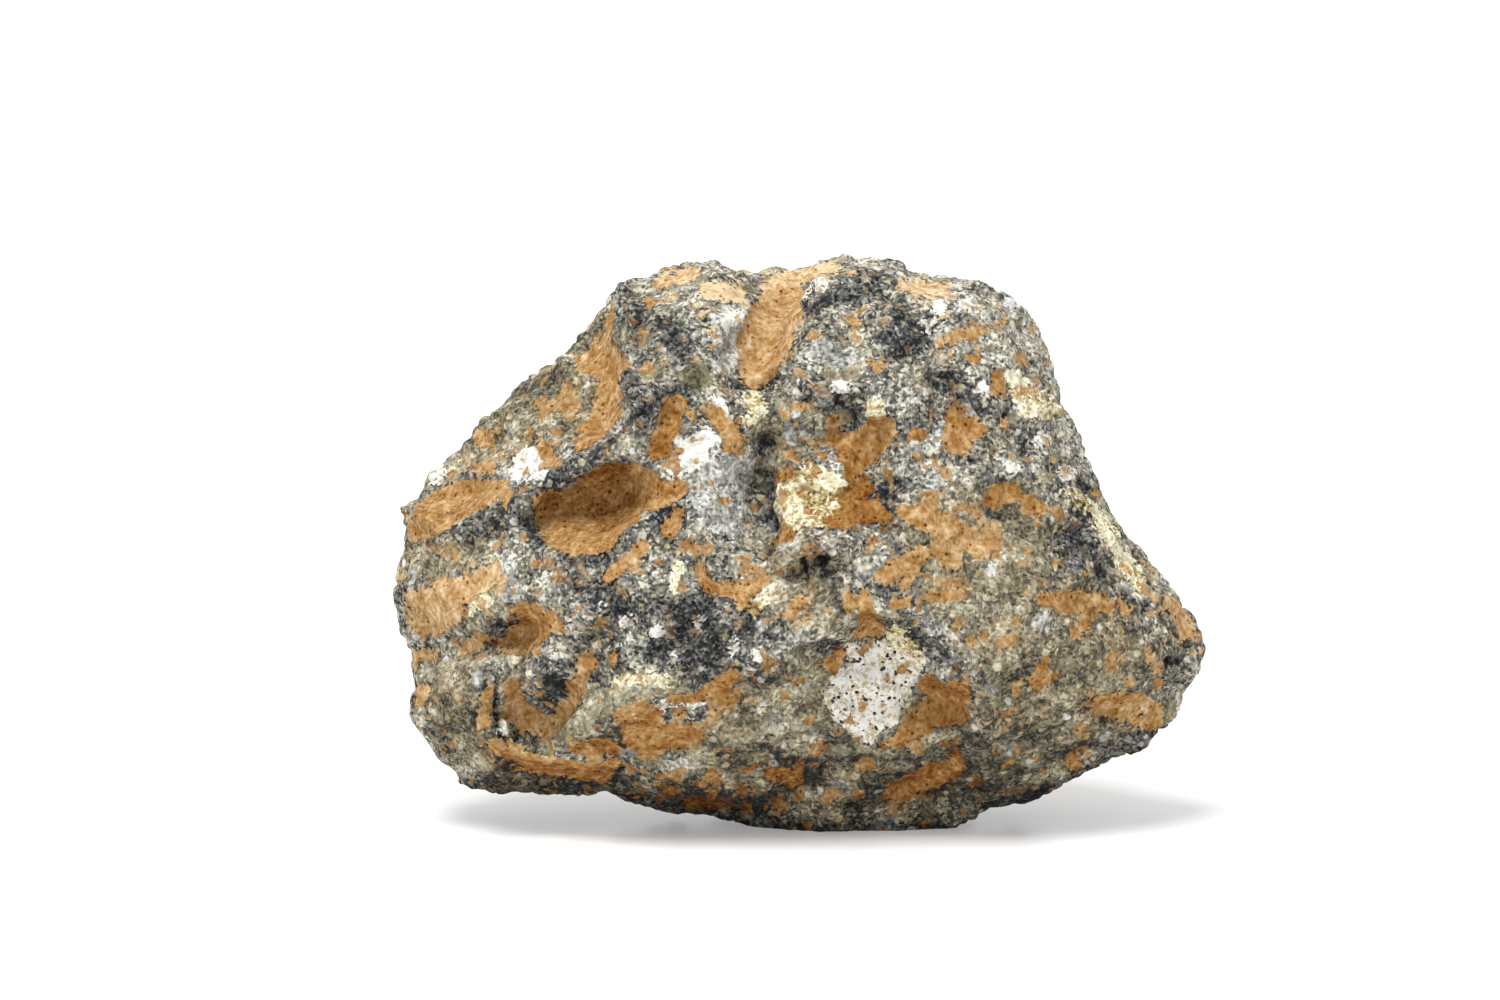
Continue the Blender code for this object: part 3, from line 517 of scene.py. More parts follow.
class Skin:
    """The stone's surface as arrays: points and normals in millimetres, and its patches."""

    def __init__(self, mesh):
        count = len(mesh.vertices)
        self.mesh = mesh
        self.points = np.empty(count * 3)
        mesh.vertices.foreach_get("co", self.points)
        self.points = self.points.reshape(count, 3) / MM
        edges = np.empty(len(mesh.edges) * 2, dtype=int)
        mesh.edges.foreach_get("vertices", edges)
        self.edges = edges.reshape(-1, 2)
        self.degree = np.bincount(self.edges.ravel(), minlength=count)

    def neighbours_mean(self, values):
        """For each point, the mean of a value over the points next to it."""
        start, end = self.edges[:, 0], self.edges[:, 1]
        count = len(self.points)
        return np.stack([
            np.bincount(start, values[end, i], count) + np.bincount(end, values[start, i], count)
            for i in range(values.shape[1])
        ], axis=1) / self.degree[:, None]

    def smoothed(self, values, rounds, push=0.0):
        """Values eased towards their neighbours, then pushed back, so that nothing shrinks."""
        for _ in range(rounds):
            values = values + EASING_PULL * (self.neighbours_mean(values) - values)
            if push:
                values = values - push * (self.neighbours_mean(values) - values)
        return values

    def write_points(self):
        self.mesh.vertices.foreach_set("co", (self.points * MM).ravel())
        self.mesh.update()

    def read_normals(self):
        normals = np.empty(len(self.points) * 3)
        self.mesh.vertices.foreach_get("normal", normals)
        self.normals = normals.reshape(-1, 3)

    def hollowness(self, rounds):
        """How far each point lies below its smoothed surroundings, in millimetres."""
        return np.sum((self.smoothed(self.points, rounds) - self.points) * self.normals, axis=1)

    def store(self, name, values):
        layer = self.mesh.attributes.new(name, "FLOAT", "POINT")
        layer.data.foreach_set("value", values.astype(np.float32))


WOBBLE = ((1.1, 0.16, 1), (0.5, 0.12, 2), (0.27, 0.05, 3))  # size, height, seed
BACK_BEND = 1.6  # millimetres that the unseen side's patches are bent out of their plain bands
BACK_BEND_SIZE = 2.4
BACK_BEND_SEEDS = (5, 6)


class Patches:
    """Where each kind of rock and soil lies on the skin."""

    def __init__(self, skin):
        self.across, self.up, self.ahead = photo_place(skin.points)
        self.back_across, self.back_up = (
            place + BACK_BEND * noise_at(skin.points, BACK_BEND_SIZE, seed)
            for place, seed in zip((self.across, self.up), BACK_BEND_SEEDS)
        )
        self.wobble = sum(
            height * noise_at(skin.points, size, seed) for size, height, seed in WOBBLE
        )

    def on_front(self, band):
        return band_inside(self.across, self.up, from_pixels(band)) - np.maximum(-self.ahead, 0)

    def on_back(self, band):
        return band_inside(self.back_across, self.back_up, band) - np.maximum(self.ahead, 0)

    def union(self, front, spots, back, wobble):
        """The deepest that each point lies in any patch of one kind."""
        depths = [self.on_front(band) for band in front.values()]
        depths += [self.on_front([spot]) for spot in spots]
        depths += [self.on_back(band) for band in back.values()]
        return np.max(depths, axis=0) + wobble * self.wobble


def smooth_step(values, low, high):
    share = np.clip((values - low) / (high - low), 0, 1)
    return share * share * (3 - 2 * share)


TONE_REACH = 0.35  # millimetres over which one soil's tone gives way to the next one's


def soil_patches(patches):
    """How deep each point lies in soil, and how pale that soil is."""
    kinds = [(tone, patches.on_front(band)) for tone, band in SOIL.values()]
    kinds += [(FLECK_TONE, patches.on_front([spot])) for spot in SOIL_FLECKS]
    kinds += [(tone, patches.on_back(band)) for tone, band in BACK_SOIL.values()]
    depth = np.max([inside for _, inside in kinds], axis=0) + patches.wobble
    weights = [np.exp(np.clip(inside, -FAR, 1) / TONE_REACH) for _, inside in kinds]
    total = np.sum(weights, axis=0)
    tone = np.sum([w * tone for w, (tone, _) in zip(weights, kinds)], axis=0) / total
    return depth, tone


GATHERED = 1.1  # how much deeper than its surroundings the unseen side's soil is taken to be
GATHERED_FROM = 0.32  # millimetres that a place lies low before soil gathers there
GATHERED_STRAY = (2.2, 0.35, 21)  # size, height, seed
GATHERED_KEPT_OFF = 2  # millimetres by which the front is kept clear of it
FRONT_EDGE = (-0.6, 0.4)  # ahead of the profile line
HOLLOW_ROUNDS = 30


def gathered_soil(skin, patches):
    """How deep each point lies in soil that gathered in the low places of the unseen side."""
    size, height, seed = GATHERED_STRAY
    stray = height * noise_at(skin.points, size, seed)
    low = GATHERED * skin.hollowness(HOLLOW_ROUNDS) - GATHERED_FROM + stray + patches.wobble
    return low - GATHERED_KEPT_OFF * smooth_step(patches.ahead, *FRONT_EDGE)


# How far the rims of the hollows and ridges stray, and where their sides start and end, in
# millimetres inside their bands
HOLLOW_STRAY = 0.8
HOLLOW_SIDE = (-0.2, 1.0)
RIDGE_STRAY = 0.4
RIDGE_SIDE = (-0.3, 0.15)


def hollowed(patches):
    """How far each point moves away from the camera's side, where the soil lies in a hollow."""
    depth = np.zeros(len(patches.across))
    for deep, band in HOLLOWS.values():
        inside = patches.on_front(band) + HOLLOW_STRAY * patches.wobble
        depth += deep * smooth_step(inside, *HOLLOW_SIDE)
    return depth


def ridged(patches):
    """How far each point stands out on the narrow ridges, or lies back in the grooves."""
    height = np.zeros(len(patches.across))
    for tall, band in RIDGES.values():
        inside = patches.on_front(band) + RIDGE_STRAY * patches.wobble
        height += tall * smooth_step(inside, *RIDGE_SIDE)
    return height


ROUGH_SIZES = ((1.5, 0.13, 11), (0.75, 0.13, 12), (0.42, 0.09, 13))  # size, height, seed
SOIL_SIZES = ((1.1, 0.06, 14), (0.6, 0.06, 15))
SOIL_SINK = 0.1
SOIL_SIDE = (-0.08, 0.1)
CREVICE_SIZE = 0.75
CREVICE_DEPTH = 0.18
CREVICE_WIDTH = 0.16
CREVICE_SEED = 4
DARK_ROUGHER = 0.5
DARK_SIDE = (-0.2, 0.3)
CLAST_RISE = 0.06
CLAST_SIDE = (-0.1, 0.15)
PIT_DEPTH = 0.25
PIT_SIDE = (-0.12, 0.12)
CRACK_DEPTH = 0.25
CRACK_SIDE = (-0.12, 0.06)
ALL_SUNK = 0.03


def relief(skin, layers, roughness):
    """How far each point moves along its normal, in millimetres, to give the broken surface."""
    rock = 1 - smooth_step(layers["soil"], *SOIL_SIDE)
    height = np.zeros(len(skin.points))
    for size, tall, seed in ROUGH_SIZES:
        height += tall * noise_at(skin.points, size, seed)
    gaps = crevices_at(skin.points, CREVICE_SIZE, CREVICE_SEED)
    height -= CREVICE_DEPTH * np.exp(-gaps / CREVICE_WIDTH)
    height *= roughness * rock * (1 + DARK_ROUGHER * smooth_step(layers["dark"], *DARK_SIDE))
    clasts = np.max([layers[name] for name in CLASTS], axis=0)
    height += CLAST_RISE * smooth_step(clasts, *CLAST_SIDE) * rock
    height -= SOIL_SINK * (1 - rock)
    for size, tall, seed in SOIL_SIZES:
        height += tall * (1 - rock) * noise_at(skin.points, size, seed)
    height -= PIT_DEPTH * smooth_step(layers["pits"], *PIT_SIDE)
    height -= CRACK_DEPTH * smooth_step(layers["crack"], *CRACK_SIDE)
    return height - ALL_SUNK


FLAT_KEPT = 0.05  # millimetres above the lowest point within which the resting flat is left alone
EASING_ROUNDS = 8
EASING_PUSH = 0.5
FACING_ROUNDS = 12
# The skin that faces down gets painted shade
UNDERSIDE_SHADE_SIDE = (0.45, 0.9)  # how far down the skin faces where it starts to darken, and is dark
RECESS_SHADE_ROUNDS = 4


def even_mesh(node, grid):
    """The node's shape as a mesh on an even fine grid."""
    source = bpy.data.objects.new("stone_source", node.data.copy())
    bpy.context.scene.collection.objects.link(source)
    remesh = source.modifiers.new("even grid", "REMESH")
    remesh.mode = "VOXEL"
    remesh.voxel_size = grid
    remesh.use_smooth_shade = True
    seen = source.evaluated_get(bpy.context.evaluated_depsgraph_get())
    mesh = bpy.data.meshes.new_from_object(seen)
    mesh.name = STONE_PIECE
    bpy.data.objects.remove(source)
    mesh.materials.clear()
    return mesh


def read_layers(skin, patches):
    """What lies where: each point's depth in each kind of patch, and how far down it faces."""
    layers = {name: patches.union(*kind) for name, kind in KINDS.items()}
    soil, layers["soil_tone"] = soil_patches(patches)
    layers["soil"] = np.maximum(soil, gathered_soil(skin, patches))
    # How far down the skin faces, kept as "under" for painted shade on the underside
    facing = skin.smoothed(skin.normals, FACING_ROUNDS)[:, 2]
    layers["under"] = smooth_step(-facing, *UNDERSIDE_SHADE_SIDE)
    return layers


def dressed_mesh(node, grid, roughness):
    """The node's shape with its facets eased and the broken surface added."""
    skin = Skin(even_mesh(node, grid))
    lowest, highest = (np.array(corner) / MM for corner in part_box(STONE_NODE))
    flat = skin.points[:, 2] < lowest[2] + FLAT_KEPT
    eased = skin.smoothed(skin.points, EASING_ROUNDS, EASING_PUSH)
    skin.points = np.where(flat[:, None], skin.points, eased)
    skin.write_points()
    skin.read_normals()

    patches = Patches(skin)
    layers = read_layers(skin, patches)
    height = relief(skin, layers, roughness) + ridged(patches)
    height[flat] = 0
    sight = np.array((0.0, math.cos(SIGHT_TILT), -math.sin(SIGHT_TILT)))
    skin.points = skin.points + height[:, None] * skin.normals
    skin.points = skin.points + hollowed(patches)[:, None] * sight
    skin.points = np.clip(skin.points, lowest, highest)
    skin.write_points()
    skin.read_normals()

    layers["pits"] = np.maximum(layers["pits"], layers.pop("crack"))
    # How low each point lies among its neighbours, kept as "hollow" for painted shade in recesses
    layers["hollow"] = skin.hollowness(RECESS_SHADE_ROUNDS)
    for name, values in layers.items():
        skin.store(name, np.clip(values, -MASK_REACH, MASK_REACH))
    return skin.mesh


LIGHT_LEVEL = 1.2  # how much brighter than its own colour the lamps show a surface


def painted(red, green, blue):
    """A colour as a screen shows it, 0 to 255, in the numbers that a shader takes."""
    shares = [level / 255 for level in (red, green, blue)]
    return tuple(
        (share / 12.92 if share <= 0.04045 else ((share + 0.055) / 1.055) ** 2.4) / LIGHT_LEVEL
        for share in shares
    ) + (1.0,)


class Shade:
    """A socket of a material, so that sums and products of sockets are written as such."""

    def __init__(self, nodes, socket):
        self.nodes = nodes
        self.socket = socket

    def combined(self, operation, first, second):
        whole = self.socket.type in {"VECTOR", "RGBA"}
        kind = "ShaderNodeVectorMath" if whole else "ShaderNodeMath"
        values = [
            (value,) * 3 if whole and not isinstance(value, Shade) else value
            for value in (first, second)
        ]
        return self.nodes.make(kind, {"operation": operation}, dict(enumerate(values)))

    def __add__(self, other):
        return self.combined("ADD", self, other)

    def __radd__(self, other):
        return self.combined("ADD", other, self)

    def __sub__(self, other):
        return self.combined("SUBTRACT", self, other)

    def __rsub__(self, other):
        return self.combined("SUBTRACT", other, self)

    def __mul__(self, other):
        return self.combined("MULTIPLY", self, other)

    def __rmul__(self, other):
        return self.combined("MULTIPLY", other, self)

    def higher(self, other):
        return self.combined("MAXIMUM", self, other)

    def step(self, low, high):
        """0 below low and 1 above high, smooth between them."""
        return self.nodes.make(
            "ShaderNodeMapRange",
            {"interpolation_type": "SMOOTHSTEP"},
            {"Value": self, "From Min": low, "From Max": high},
        )

    def ramp(self, stops):
        """The colour for this value, from stops of (value, red, green, blue)."""
        return self.nodes.make("ShaderNodeValToRGB", {"stops": stops}, {"Fac": self})


RADIUS_LEAST = 0.22  # a fragment's radius, against the size of its cell
RADIUS_SPREAD = 0.2


class Nodes:
    """Makes the nodes of one material."""

    def __init__(self, material):
        material.use_nodes = True
        self.tree = material.node_tree
        self.shader = self.tree.nodes["Principled BSDF"]

    def make(self, kind, settings=None, inputs=None, output=0):
        """Adds a node, makes its settings first, then fills its sockets, and gives one output."""
        node = self.tree.nodes.new(kind)
        for name, value in (settings or {}).items():
            if name == "stops":
                self.set_stops(node.color_ramp, value)
            else:
                setattr(node, name, value)
        for name, value in (inputs or {}).items():
            self.fill(node.inputs[name], value)
        return Shade(self, node.outputs[output])

    def set_stops(self, ramp, stops):
        while len(ramp.elements) < len(stops):
            ramp.elements.new(1.0)
        for element, (position, *colour) in zip(ramp.elements, stops):
            element.position = position
            element.color = painted(*colour)

    def fill(self, socket, value):
        if isinstance(value, Shade):
            self.tree.links.new(value.socket, socket)
        else:
            socket.default_value = value

    def mixed(self, factor, first, second):
        """One colour giving way to another."""
        return self.make(
            "ShaderNodeMix", {"data_type": "RGBA"}, {0: factor, 6: first, 7: second}, output=2
        )

    def layer(self, name):
        """A patch's distance, or another value that the mesh carries."""
        return self.make("ShaderNodeAttribute", {"attribute_name": name}, output="Fac")

    def clouds(self, place, size, detail=2.0, output="Fac"):
        """Smooth noise, with lumps of about the given size in millimetres."""
        return self.make(
            "ShaderNodeTexNoise", {}, {"Vector": place, "Scale": 1 / size, "Detail": detail}, output
        )

    def cells(self, place, size):
        """Grains of the given size in millimetres: their distance field and three random values."""
        inputs = {"Vector": place, "Scale": 1 / size}
        reach = self.make("ShaderNodeTexVoronoi", {}, inputs, "Distance")
        chance = Shade(self, reach.socket.node.outputs["Color"])
        parts = self.make("ShaderNodeSeparateColor", {}, {"Color": chance}, "Red").socket.node
        return reach, *(Shade(self, parts.outputs[name]) for name in ("Red", "Green", "Blue"))

    def fragments(self, place, size, share, softness):
        """Where a share of the cells holds a roundish fragment, and two random values for it."""
        reach, chance, hue, lot = self.cells(place, size)
        inside = (lot * RADIUS_SPREAD + RADIUS_LEAST - reach).step(-softness, softness)
        return inside * (chance + share).step(0.99, 1.0), hue, lot


# The colours from dark to pale: each stop's place, then red, green and blue from 0 to 255
COOL_ROCK = [
    (0.0, 22, 24, 28), (0.2, 54, 56, 59), (0.42, 108, 107, 101), (0.6, 156, 153, 140),
    (0.8, 214, 210, 194), (1.0, 254, 252, 242),
]
WARM_ROCK = [
    (0.0, 26, 26, 26), (0.2, 68, 65, 55), (0.42, 124, 115, 92), (0.6, 166, 155, 126),
    (0.8, 210, 201, 172), (1.0, 252, 247, 226),
]
CREAM_COLOURS = [
    (0.0, 110, 88, 48), (0.25, 172, 150, 98), (0.5, 220, 208, 168), (0.8, 254, 250, 224),
]
WHITE_COLOURS = [
    (0.0, 120, 116, 100), (0.3, 200, 197, 182), (0.6, 242, 240, 230), (0.85, 255, 254, 248),
]
GREY_COLOURS = [
    (0.0, 50, 53, 54), (0.3, 120, 121, 116), (0.55, 172, 172, 163), (0.9, 240, 240, 232),
]
OLIVE_COLOURS = [
    (0.0, 56, 52, 34), (0.3, 112, 106, 82), (0.6, 162, 155, 128), (1.0, 236, 231, 206),
]
SOIL_COLOURS = [
    (0.0, 92, 46, 6), (0.25, 142, 92, 34), (0.5, 173, 131, 75), (0.75, 205, 171, 125),
    (1.0, 240, 214, 174),
]
OCHRE = painted(198, 178, 130)
BLACK_GRAIN = painted(34, 37, 43)
PIT_COLOUR = painted(10, 10, 11)


# Smooth noises: the size of their lumps in millimetres, and how much finer detail they hold
CLOUDS = {
    "swell": (0.34, 1.0), "cloud": (1.3, 3.0), "crag": (0.45, 3.0), "hue_cloud": (1.7, 3.0),
    "edge": (0.16, 1.0), "fleck_cloud": (0.9, 3.0), "soil_cloud": (0.6, 2.0),
}
BEND = (0.4, 1.0)
WIDE_BEND = (0.6, 2.0)

# How far, in millimetres, those bend what lies in even cells
GRAIN_BEND = 0.14
DOT_BEND = 0.3
SPECK_BEND = 0.5
FRAGMENT_BEND = 0.5

COARSE = 2.4  # how much wider than one mineral grain a clump of them is
SAND = 1.5
CRUMB_SIZE = 0.14  # of the soil, in millimetres

# Small fragments: the size of their cells in millimetres, the share of the cells that hold one,
# and how soft its edge is
BIG_FRAGMENTS = (1.9, 0.2, 0.06)
MIDDLE_FRAGMENTS = (0.95, 0.34, 0.1)
SMALL_FRAGMENTS = (0.46, 0.26, 0.1)
CLAST_DOTS = (0.24, 0.6, 0.06)
SOIL_SPECKS = (0.56, 0.12, 0.1)
SOIL_PORES = (0.16, 0.2, 0.14)
BLACK_GRAIN_SIZE = 0.19
BLACK_GRAIN_SHARE = 0.26
BLACK_GRAIN_EDGE = 0.14

# Where each kind of patch starts to show and where it's full, in millimetres inside its band
PATCH_EDGES = {
    "dark": (-0.3, 0.3), "tan": (-0.8, 0.6), "dim": (-0.8, 0.8), "pale": (-0.5, 0.7),
    "pits": (-0.1, 0.1), "hollow": (0.02, 0.12), "dust": (-0.5, 0.5),
}
CLAST_EDGES = {"white": 0.05, "cream": 0.07, "dotted": 0.05, "grey": 0.1, "olive": 0.1}
RIM_EDGE = (-0.3, 0.0)
SMOOTH_EDGE = (-0.1, 0.1)
SOIL_EDGE = (-0.04, 0.04)
FLECK_EDGE = (0.61, 0.64)
STAIN_EDGE = (0.62, 0.76)
SOIL_RAGGED = 0.9

# How far each noise sways the patches' edges, the rock's tone, its warmth and the soil's tone
RAGGED = {"edge": 0.4, "crag": 0.3, "grain": 0.16}
SPREAD = {"grain": 0.55, "coarse": 0.14, "sand": 0.6}
DRIFT = {"cloud": 1.0, "crag": 0.4}
WARM_SWAY = {"hue_cloud": 2.2, "grain_hue": 0.4}
SOIL_SWAY = {"soil_cloud": 0.9, "crumb": 0.16, "sand": 0.9, "crag": 0.3}

# How much paler or darker each kind of patch makes the rock, how much browner, and how much
# likelier it makes black grains. Its "under" is painted shade on the skin that faces down
# Its "hollow" is painted shade in the small recesses of the skin
SHADES = {
    "pale": 0.12, "dark": -0.22, "dim": -0.13, "under": -0.36, "pits": -0.35, "hollow": -0.15,
    "rim": -0.09,
}
WARMTHS = {"tan": 0.7, "dim": 0.35, "dark": -0.3}
BLACKS = {"dark": 0.3, "dim": 0.1, "pale": -0.1}

ROCK_TONE = 0.53
CALM_TONE = 0.5
CALM = 0.6
WARMTH = 0.2
MATT = 0.9
SHINY = 0.4
SHINY_GRAINS = (0.93, 0.95)
SPECULAR = 0.25


class Breccia:
    """What lies where on the stone, and the colour, gloss and fine height that come of it."""

    def __init__(self, nodes, grain_size):
        self.nodes = nodes
        self.place = place = nodes.make("ShaderNodeTexCoord", output="Object") * (1 / MM)
        self.bend = nodes.clouds(place, *BEND, "Color") - 0.5
        self.bent = place + self.bend * GRAIN_BEND
        self.noise = noise = {name: nodes.clouds(place, *kind) for name, kind in CLOUDS.items()}
        _, noise["grain"], self.gloss, noise["grain_hue"] = nodes.cells(place, grain_size)
        _, noise["coarse"], _, _ = nodes.cells(self.bent, grain_size * COARSE)
        _, noise["crumb"], _, _ = nodes.cells(place, CRUMB_SIZE)
        noise["sand"] = nodes.clouds(place, grain_size * SAND)

        ragged = self.sway(RAGGED)
        soil = nodes.layer("soil")
        self.mask = mask = {
            name: nodes.layer(name).step(*ends) for name, ends in PATCH_EDGES.items()
        }
        for name, half in CLAST_EDGES.items():
            mask[name] = (nodes.layer(name) + ragged).step(-half, half)
        mask["under"] = nodes.layer("under")
        mask["rim"] = soil.step(*RIM_EDGE)
        mask["smooth"] = soil.step(*SMOOTH_EDGE)
        flecks = noise["fleck_cloud"] + mask["dust"] * 0.16 + (noise["edge"] - 0.5) * 0.12
        specks, _, _ = nodes.fragments(place + self.bend * SPECK_BEND, *SOIL_SPECKS)
        scattered = flecks.step(*FLECK_EDGE).higher(specks) * (0.9 - mask["dark"] * 0.6)
        mask["soil"] = (soil + ragged * SOIL_RAGGED).step(*SOIL_EDGE).higher(scattered)

        spread, drift, shade = self.sway(SPREAD), self.sway(DRIFT), self.weighed(SHADES)
        self.tone = ROCK_TONE + spread * (1 - mask["tan"] * 0.2) + drift + shade
        self.calm_tone = CALM_TONE + (spread + drift) * CALM + shade

    def sway(self, shares):
        """Some of the noises added up, each around 0."""
        return sum((self.noise[name] - 0.5) * share for name, share in shares.items())

    def weighed(self, shares):
        """Some of the patches added up."""
        return sum(self.mask[name] * share for name, share in shares.items())

    def rock(self):
        """The plain rock, from grey to brown."""
        warmth = self.sway(WARM_SWAY) + self.weighed(WARMTHS) + WARMTH
        return self.nodes.mixed(
            warmth.step(0.0, 1.0), self.tone.ramp(COOL_ROCK),
            (self.tone * 0.9 + 0.04).ramp(WARM_ROCK),
        )

    def with_fragments(self, colour):
        """Small fragments and black grains all over the rock."""
        nodes, tone, calm_tone, dark = self.nodes, self.tone, self.calm_tone, self.mask["dark"]
        bend = nodes.clouds(self.place, *WIDE_BEND, "Color") - 0.5
        inside, hue, _ = nodes.fragments(self.place + bend * FRAGMENT_BEND, *BIG_FRAGMENTS)
        colour = nodes.mixed(inside, colour, nodes.mixed(
            hue.step(0.4, 0.6), tone.ramp(GREY_COLOURS), calm_tone.ramp(OLIVE_COLOURS)
        ))
        inside, hue, lot = nodes.fragments(self.bent, *MIDDLE_FRAGMENTS)
        colour = nodes.mixed(inside * (0.75 - dark * 0.3), colour, nodes.mixed(
            hue.step(0.45, 0.5), (tone * 0.6 + lot * 0.35).ramp(GREY_COLOURS),
            (calm_tone * 0.7 + lot * 0.4).ramp(OLIVE_COLOURS)
        ))
        inside, hue, lot = nodes.fragments(self.bent, *SMALL_FRAGMENTS)
        # Fewer pale fragments show where the skin faces down: painted shade
        seen = inside * (0.85 - dark * 0.25 - self.mask["under"] * 0.4)
        colour = nodes.mixed(seen, colour, nodes.mixed(
            hue.step(0.4, 0.5), (tone * 0.6 + lot * 0.3).ramp(WHITE_COLOURS),
            (tone * 0.7 + lot * 0.3).ramp(CREAM_COLOURS)
        ))
        share = BLACK_GRAIN_SHARE + self.weighed(BLACKS) - (self.noise["cloud"] - 0.5) * 0.8
        inside, hue, _ = nodes.fragments(self.place, BLACK_GRAIN_SIZE, share, BLACK_GRAIN_EDGE)
        return nodes.mixed(inside * (0.3 + hue * 0.5), colour, BLACK_GRAIN)

    def with_clasts(self, colour):
        """The clasts that can be told apart, and the white one that black grains dot."""
        nodes, noise, mask, tone = self.nodes, self.noise, self.mask, self.tone
        colour = nodes.mixed(mask["olive"], colour, (tone * 0.9 + 0.1).ramp(OLIVE_COLOURS))
        colour = nodes.mixed(mask["grey"], colour, tone.ramp(GREY_COLOURS))
        colour = nodes.mixed(mask["cream"], colour, (tone * 1.3 - 0.12).ramp(CREAM_COLOURS))
        colour = nodes.mixed(mask["white"], colour, (tone * 1.1 + 0.04).ramp(WHITE_COLOURS))
        stain = noise["edge"] * 0.7 + noise["crag"] * 0.6 + (noise["grain"] - 0.5) * 0.2
        stained = nodes.mixed(
            stain.step(*STAIN_EDGE) * 0.85, (tone * 0.5 + 0.52).ramp(WHITE_COLOURS), OCHRE
        )
        dots, hue, _ = nodes.fragments(self.place + self.bend * DOT_BEND, *CLAST_DOTS)
        stained = nodes.mixed(dots, stained, (hue * 0.26).ramp(COOL_ROCK))
        return nodes.mixed(mask["dotted"], colour, stained)

    def with_soil(self, colour):
        """The soil, and the black of the pits, which under the brow is painted shadow."""
        nodes, mask = self.nodes, self.mask
        pores, _, pore_depth = nodes.fragments(self.place, *SOIL_PORES)
        tone = nodes.layer("soil_tone") + self.sway(SOIL_SWAY)
        # Soil that faces down is darker: painted shade
        tone = tone - pores * pore_depth * 0.6 - mask["under"] * 0.3
        colour = nodes.mixed(mask["soil"], colour, tone.ramp(SOIL_COLOURS))
        black = mask["pits"] * (0.8 - self.noise["grain"]).step(0.0, 0.2)
        return nodes.mixed(black, colour, PIT_COLOUR)

    def height(self):
        """The rock is grainy, and the soil is smoother."""
        noise, smooth = self.noise, self.mask["smooth"]
        rock = noise["grain"] * 0.35 + noise["swell"] * 2.4
        soil = noise["swell"] * 1.6 + noise["soil_cloud"] * 1.6
        return rock * (1 - smooth) + soil * smooth


def breccia(properties):
    """The stone's material, all from its own place and the patches that its mesh carries."""
    material = bpy.data.materials.new("lunar_breccia")
    nodes = Nodes(material)
    stone = Breccia(nodes, properties.grain_size / MM)
    colour = stone.with_soil(stone.with_clasts(stone.with_fragments(stone.rock())))
    shine = stone.gloss.step(*SHINY_GRAINS) * (1 - stone.mask["soil"])
    nodes.fill(nodes.shader.inputs["Base Color"], colour)
    nodes.fill(nodes.shader.inputs["Roughness"], MATT - shine * (MATT - SHINY))
    nodes.fill(nodes.shader.inputs["Specular IOR Level"], SPECULAR)
    nodes.fill(nodes.shader.inputs["Normal"], nodes.make(
        "ShaderNodeBump", {}, {"Height": stone.height(), "Distance": properties.grain_height}
    ))
    return material


class MeteoriteProperties(bpy.types.PropertyGroup):
    """What a user would change on the stone."""

    grid: bpy.props.FloatProperty(
        name="Surface grid", description="How fine the stone's surface mesh is",
        default=0.18 * MM, unit="LENGTH", precision=6,
    )
    roughness: bpy.props.FloatProperty(
        name="Brokenness", description="How rough the rock is, against the real stone",
        default=1.0, min=0.0, max=2.0, subtype="FACTOR",
    )
    grain_size: bpy.props.FloatProperty(
        name="Grain size", description="How wide the mineral grains are",
        default=0.12 * MM, unit="LENGTH", precision=6,
    )
    grain_height: bpy.props.FloatProperty(
        name="Grain height", description="How far the grains stand out",
        default=0.05 * MM, unit="LENGTH", precision=6,
    )


class StageProperties(bpy.types.PropertyGroup):
    """What a user would change on the stage."""

    floor_colour: bpy.props.FloatVectorProperty(
        name="Floor", description="The colour of the plate that the stone stands on",
        default=(0.9, 0.9, 0.9), size=3, min=0.0, max=1.0, subtype="COLOR",
    )
    floor_glow: bpy.props.FloatProperty(
        name="Floor glow", description="How much light shines up through the plate",
        default=0.25, min=0.0,
    )
    sky_light: bpy.props.FloatProperty(
        name="Light all round", description="How bright the white surroundings are",
        default=0.6, min=0.0,
    )
    key_light: bpy.props.FloatProperty(
        name="Soft light above", description="How bright the wide soft light above the stone is",
        default=3.1, min=0.0,
    )


class METEORITE_OT_stone(bpy.types.Operator):
    """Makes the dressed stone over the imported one"""

    bl_idname = "meteorite.make_stone"
    bl_label = "Make the stone"

    def execute(self, context):
        properties = context.scene.meteorite
        mesh = dressed_mesh(
            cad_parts[STONE_NODE], properties.grid, properties.roughness
        )
        mesh.materials.append(breccia(properties))
        piece = bpy.data.objects.new(STONE_PIECE, mesh)
        context.scene.collection.objects.link(piece)
        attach(piece, "root")
        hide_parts(STONE_NODE)
        return {"FINISHED"}


FLOOR_SIZE = 12.0
FLOOR_ROUGHNESS = 0.25
FLOOR_SPECULAR = 0.4
WHITE_LIGHT = (1.0, 1.0, 1.0, 1.0)
KEY_FROM = (-0.2, -0.38, 0.9)
KEY_SPREAD = math.radians(30)


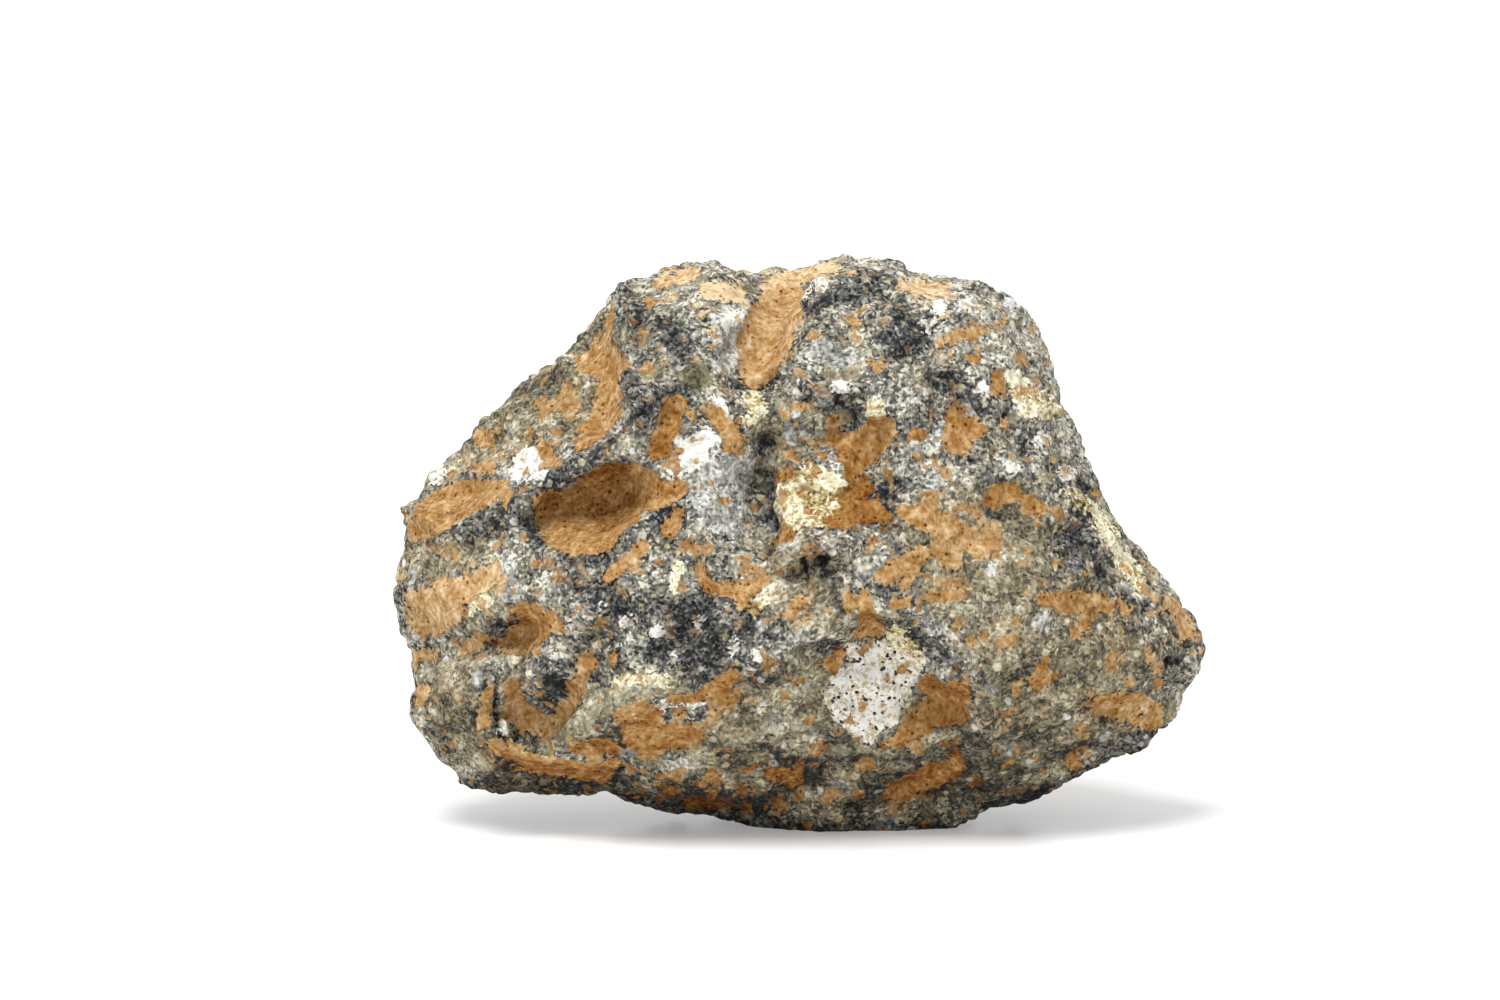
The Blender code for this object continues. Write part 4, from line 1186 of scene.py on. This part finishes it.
class METEORITE_OT_stage(bpy.types.Operator):
    """Lays the plate, lights it, and sets the camera where the photograph was taken from"""

    bl_idname = "meteorite.make_stage"
    bl_label = "Make the stage"

    def execute(self, context):
        properties = context.scene.meteorite_stage
        self.lay_floor(context, properties)
        self.light(context, properties)
        self.set_camera(context)
        return {"FINISHED"}

    def lay_floor(self, context, properties):
        half = FLOOR_SIZE / 2
        mesh = bpy.data.meshes.new("floor")
        corners = [(-half, -half, 0), (half, -half, 0), (half, half, 0), (-half, half, 0)]
        mesh.from_pydata(corners, [], [(0, 1, 2, 3)])
        material = bpy.data.materials.new("white_plate")
        nodes = Nodes(material)
        for name, value in (
            ("Base Color", (*properties.floor_colour, 1.0)),
            ("Roughness", FLOOR_ROUGHNESS),
            ("Specular IOR Level", FLOOR_SPECULAR),
            ("Emission Color", WHITE_LIGHT),
            ("Emission Strength", properties.floor_glow),
        ):
            nodes.fill(nodes.shader.inputs[name], value)
        mesh.materials.append(material)
        floor = bpy.data.objects.new("floor", mesh)
        context.scene.collection.objects.link(floor)

    def light(self, context, properties):
        world = bpy.data.worlds.new("white_surroundings")
        world.use_nodes = True
        backdrop = world.node_tree.nodes["Background"]
        backdrop.inputs["Color"].default_value = WHITE_LIGHT
        backdrop.inputs["Strength"].default_value = properties.sky_light
        context.scene.world = world
        context.scene.view_settings.view_transform = "Standard"
        lamp = bpy.data.lights.new("soft_light", "SUN")
        lamp.angle = KEY_SPREAD
        lamp.energy = properties.key_light
        key = bpy.data.objects.new("soft_light", lamp)
        key.rotation_euler = (-Vector(KEY_FROM)).to_track_quat("-Z", "Y").to_euler()
        context.scene.collection.objects.link(key)

    def set_camera(self, context):
        back = Matrix.Rotation(-SIGHT_TILT, 3, "X")
        eye = back @ Vector((SIGHT_AXIS[0], -SIGHT_DISTANCE, SIGHT_AXIS[1]))
        camera = bpy.data.objects.new("camera", bpy.data.cameras.new("camera"))
        camera.data.lens = LENS
        camera.data.sensor_width = SENSOR
        camera.data.clip_start = MM
        camera.location = (eye + Vector(STANDING_SHIFT)) * MM
        camera.rotation_euler = (math.radians(90) - SIGHT_TILT, 0, 0)
        context.scene.collection.objects.link(camera)
        context.scene.camera = camera


class METEORITE_PT_sidebar(bpy.types.Panel):
    """Lists the stone's and the stage's values and buttons"""

    bl_label = "Lunar Meteorite"
    bl_space_type = "VIEW_3D"
    bl_region_type = "UI"
    bl_category = "Meteorite"

    def draw(self, context):
        for title, group, operator in (
            ("Stone", context.scene.meteorite, METEORITE_OT_stone),
            ("Stage", context.scene.meteorite_stage, METEORITE_OT_stage),
        ):
            box = self.layout.box()
            box.label(text=title)
            for name in group.__annotations__:
                box.prop(group, name)
            box.operator(operator.bl_idname)


CLASSES = (
    MeteoriteProperties,
    StageProperties,
    METEORITE_OT_stone,
    METEORITE_OT_stage,
    METEORITE_PT_sidebar,
)


def register():
    for cls in CLASSES:
        bpy.utils.register_class(cls)
    bpy.types.Scene.meteorite = bpy.props.PointerProperty(type=MeteoriteProperties)
    bpy.types.Scene.meteorite_stage = bpy.props.PointerProperty(type=StageProperties)


def unregister():
    del bpy.types.Scene.meteorite_stage
    del bpy.types.Scene.meteorite
    for cls in reversed(CLASSES):
        bpy.utils.unregister_class(cls)


def main():
    register()
    bpy.ops.meteorite.make_stone()
    bpy.ops.meteorite.make_stage()


if __name__ == "__main__":
    main()
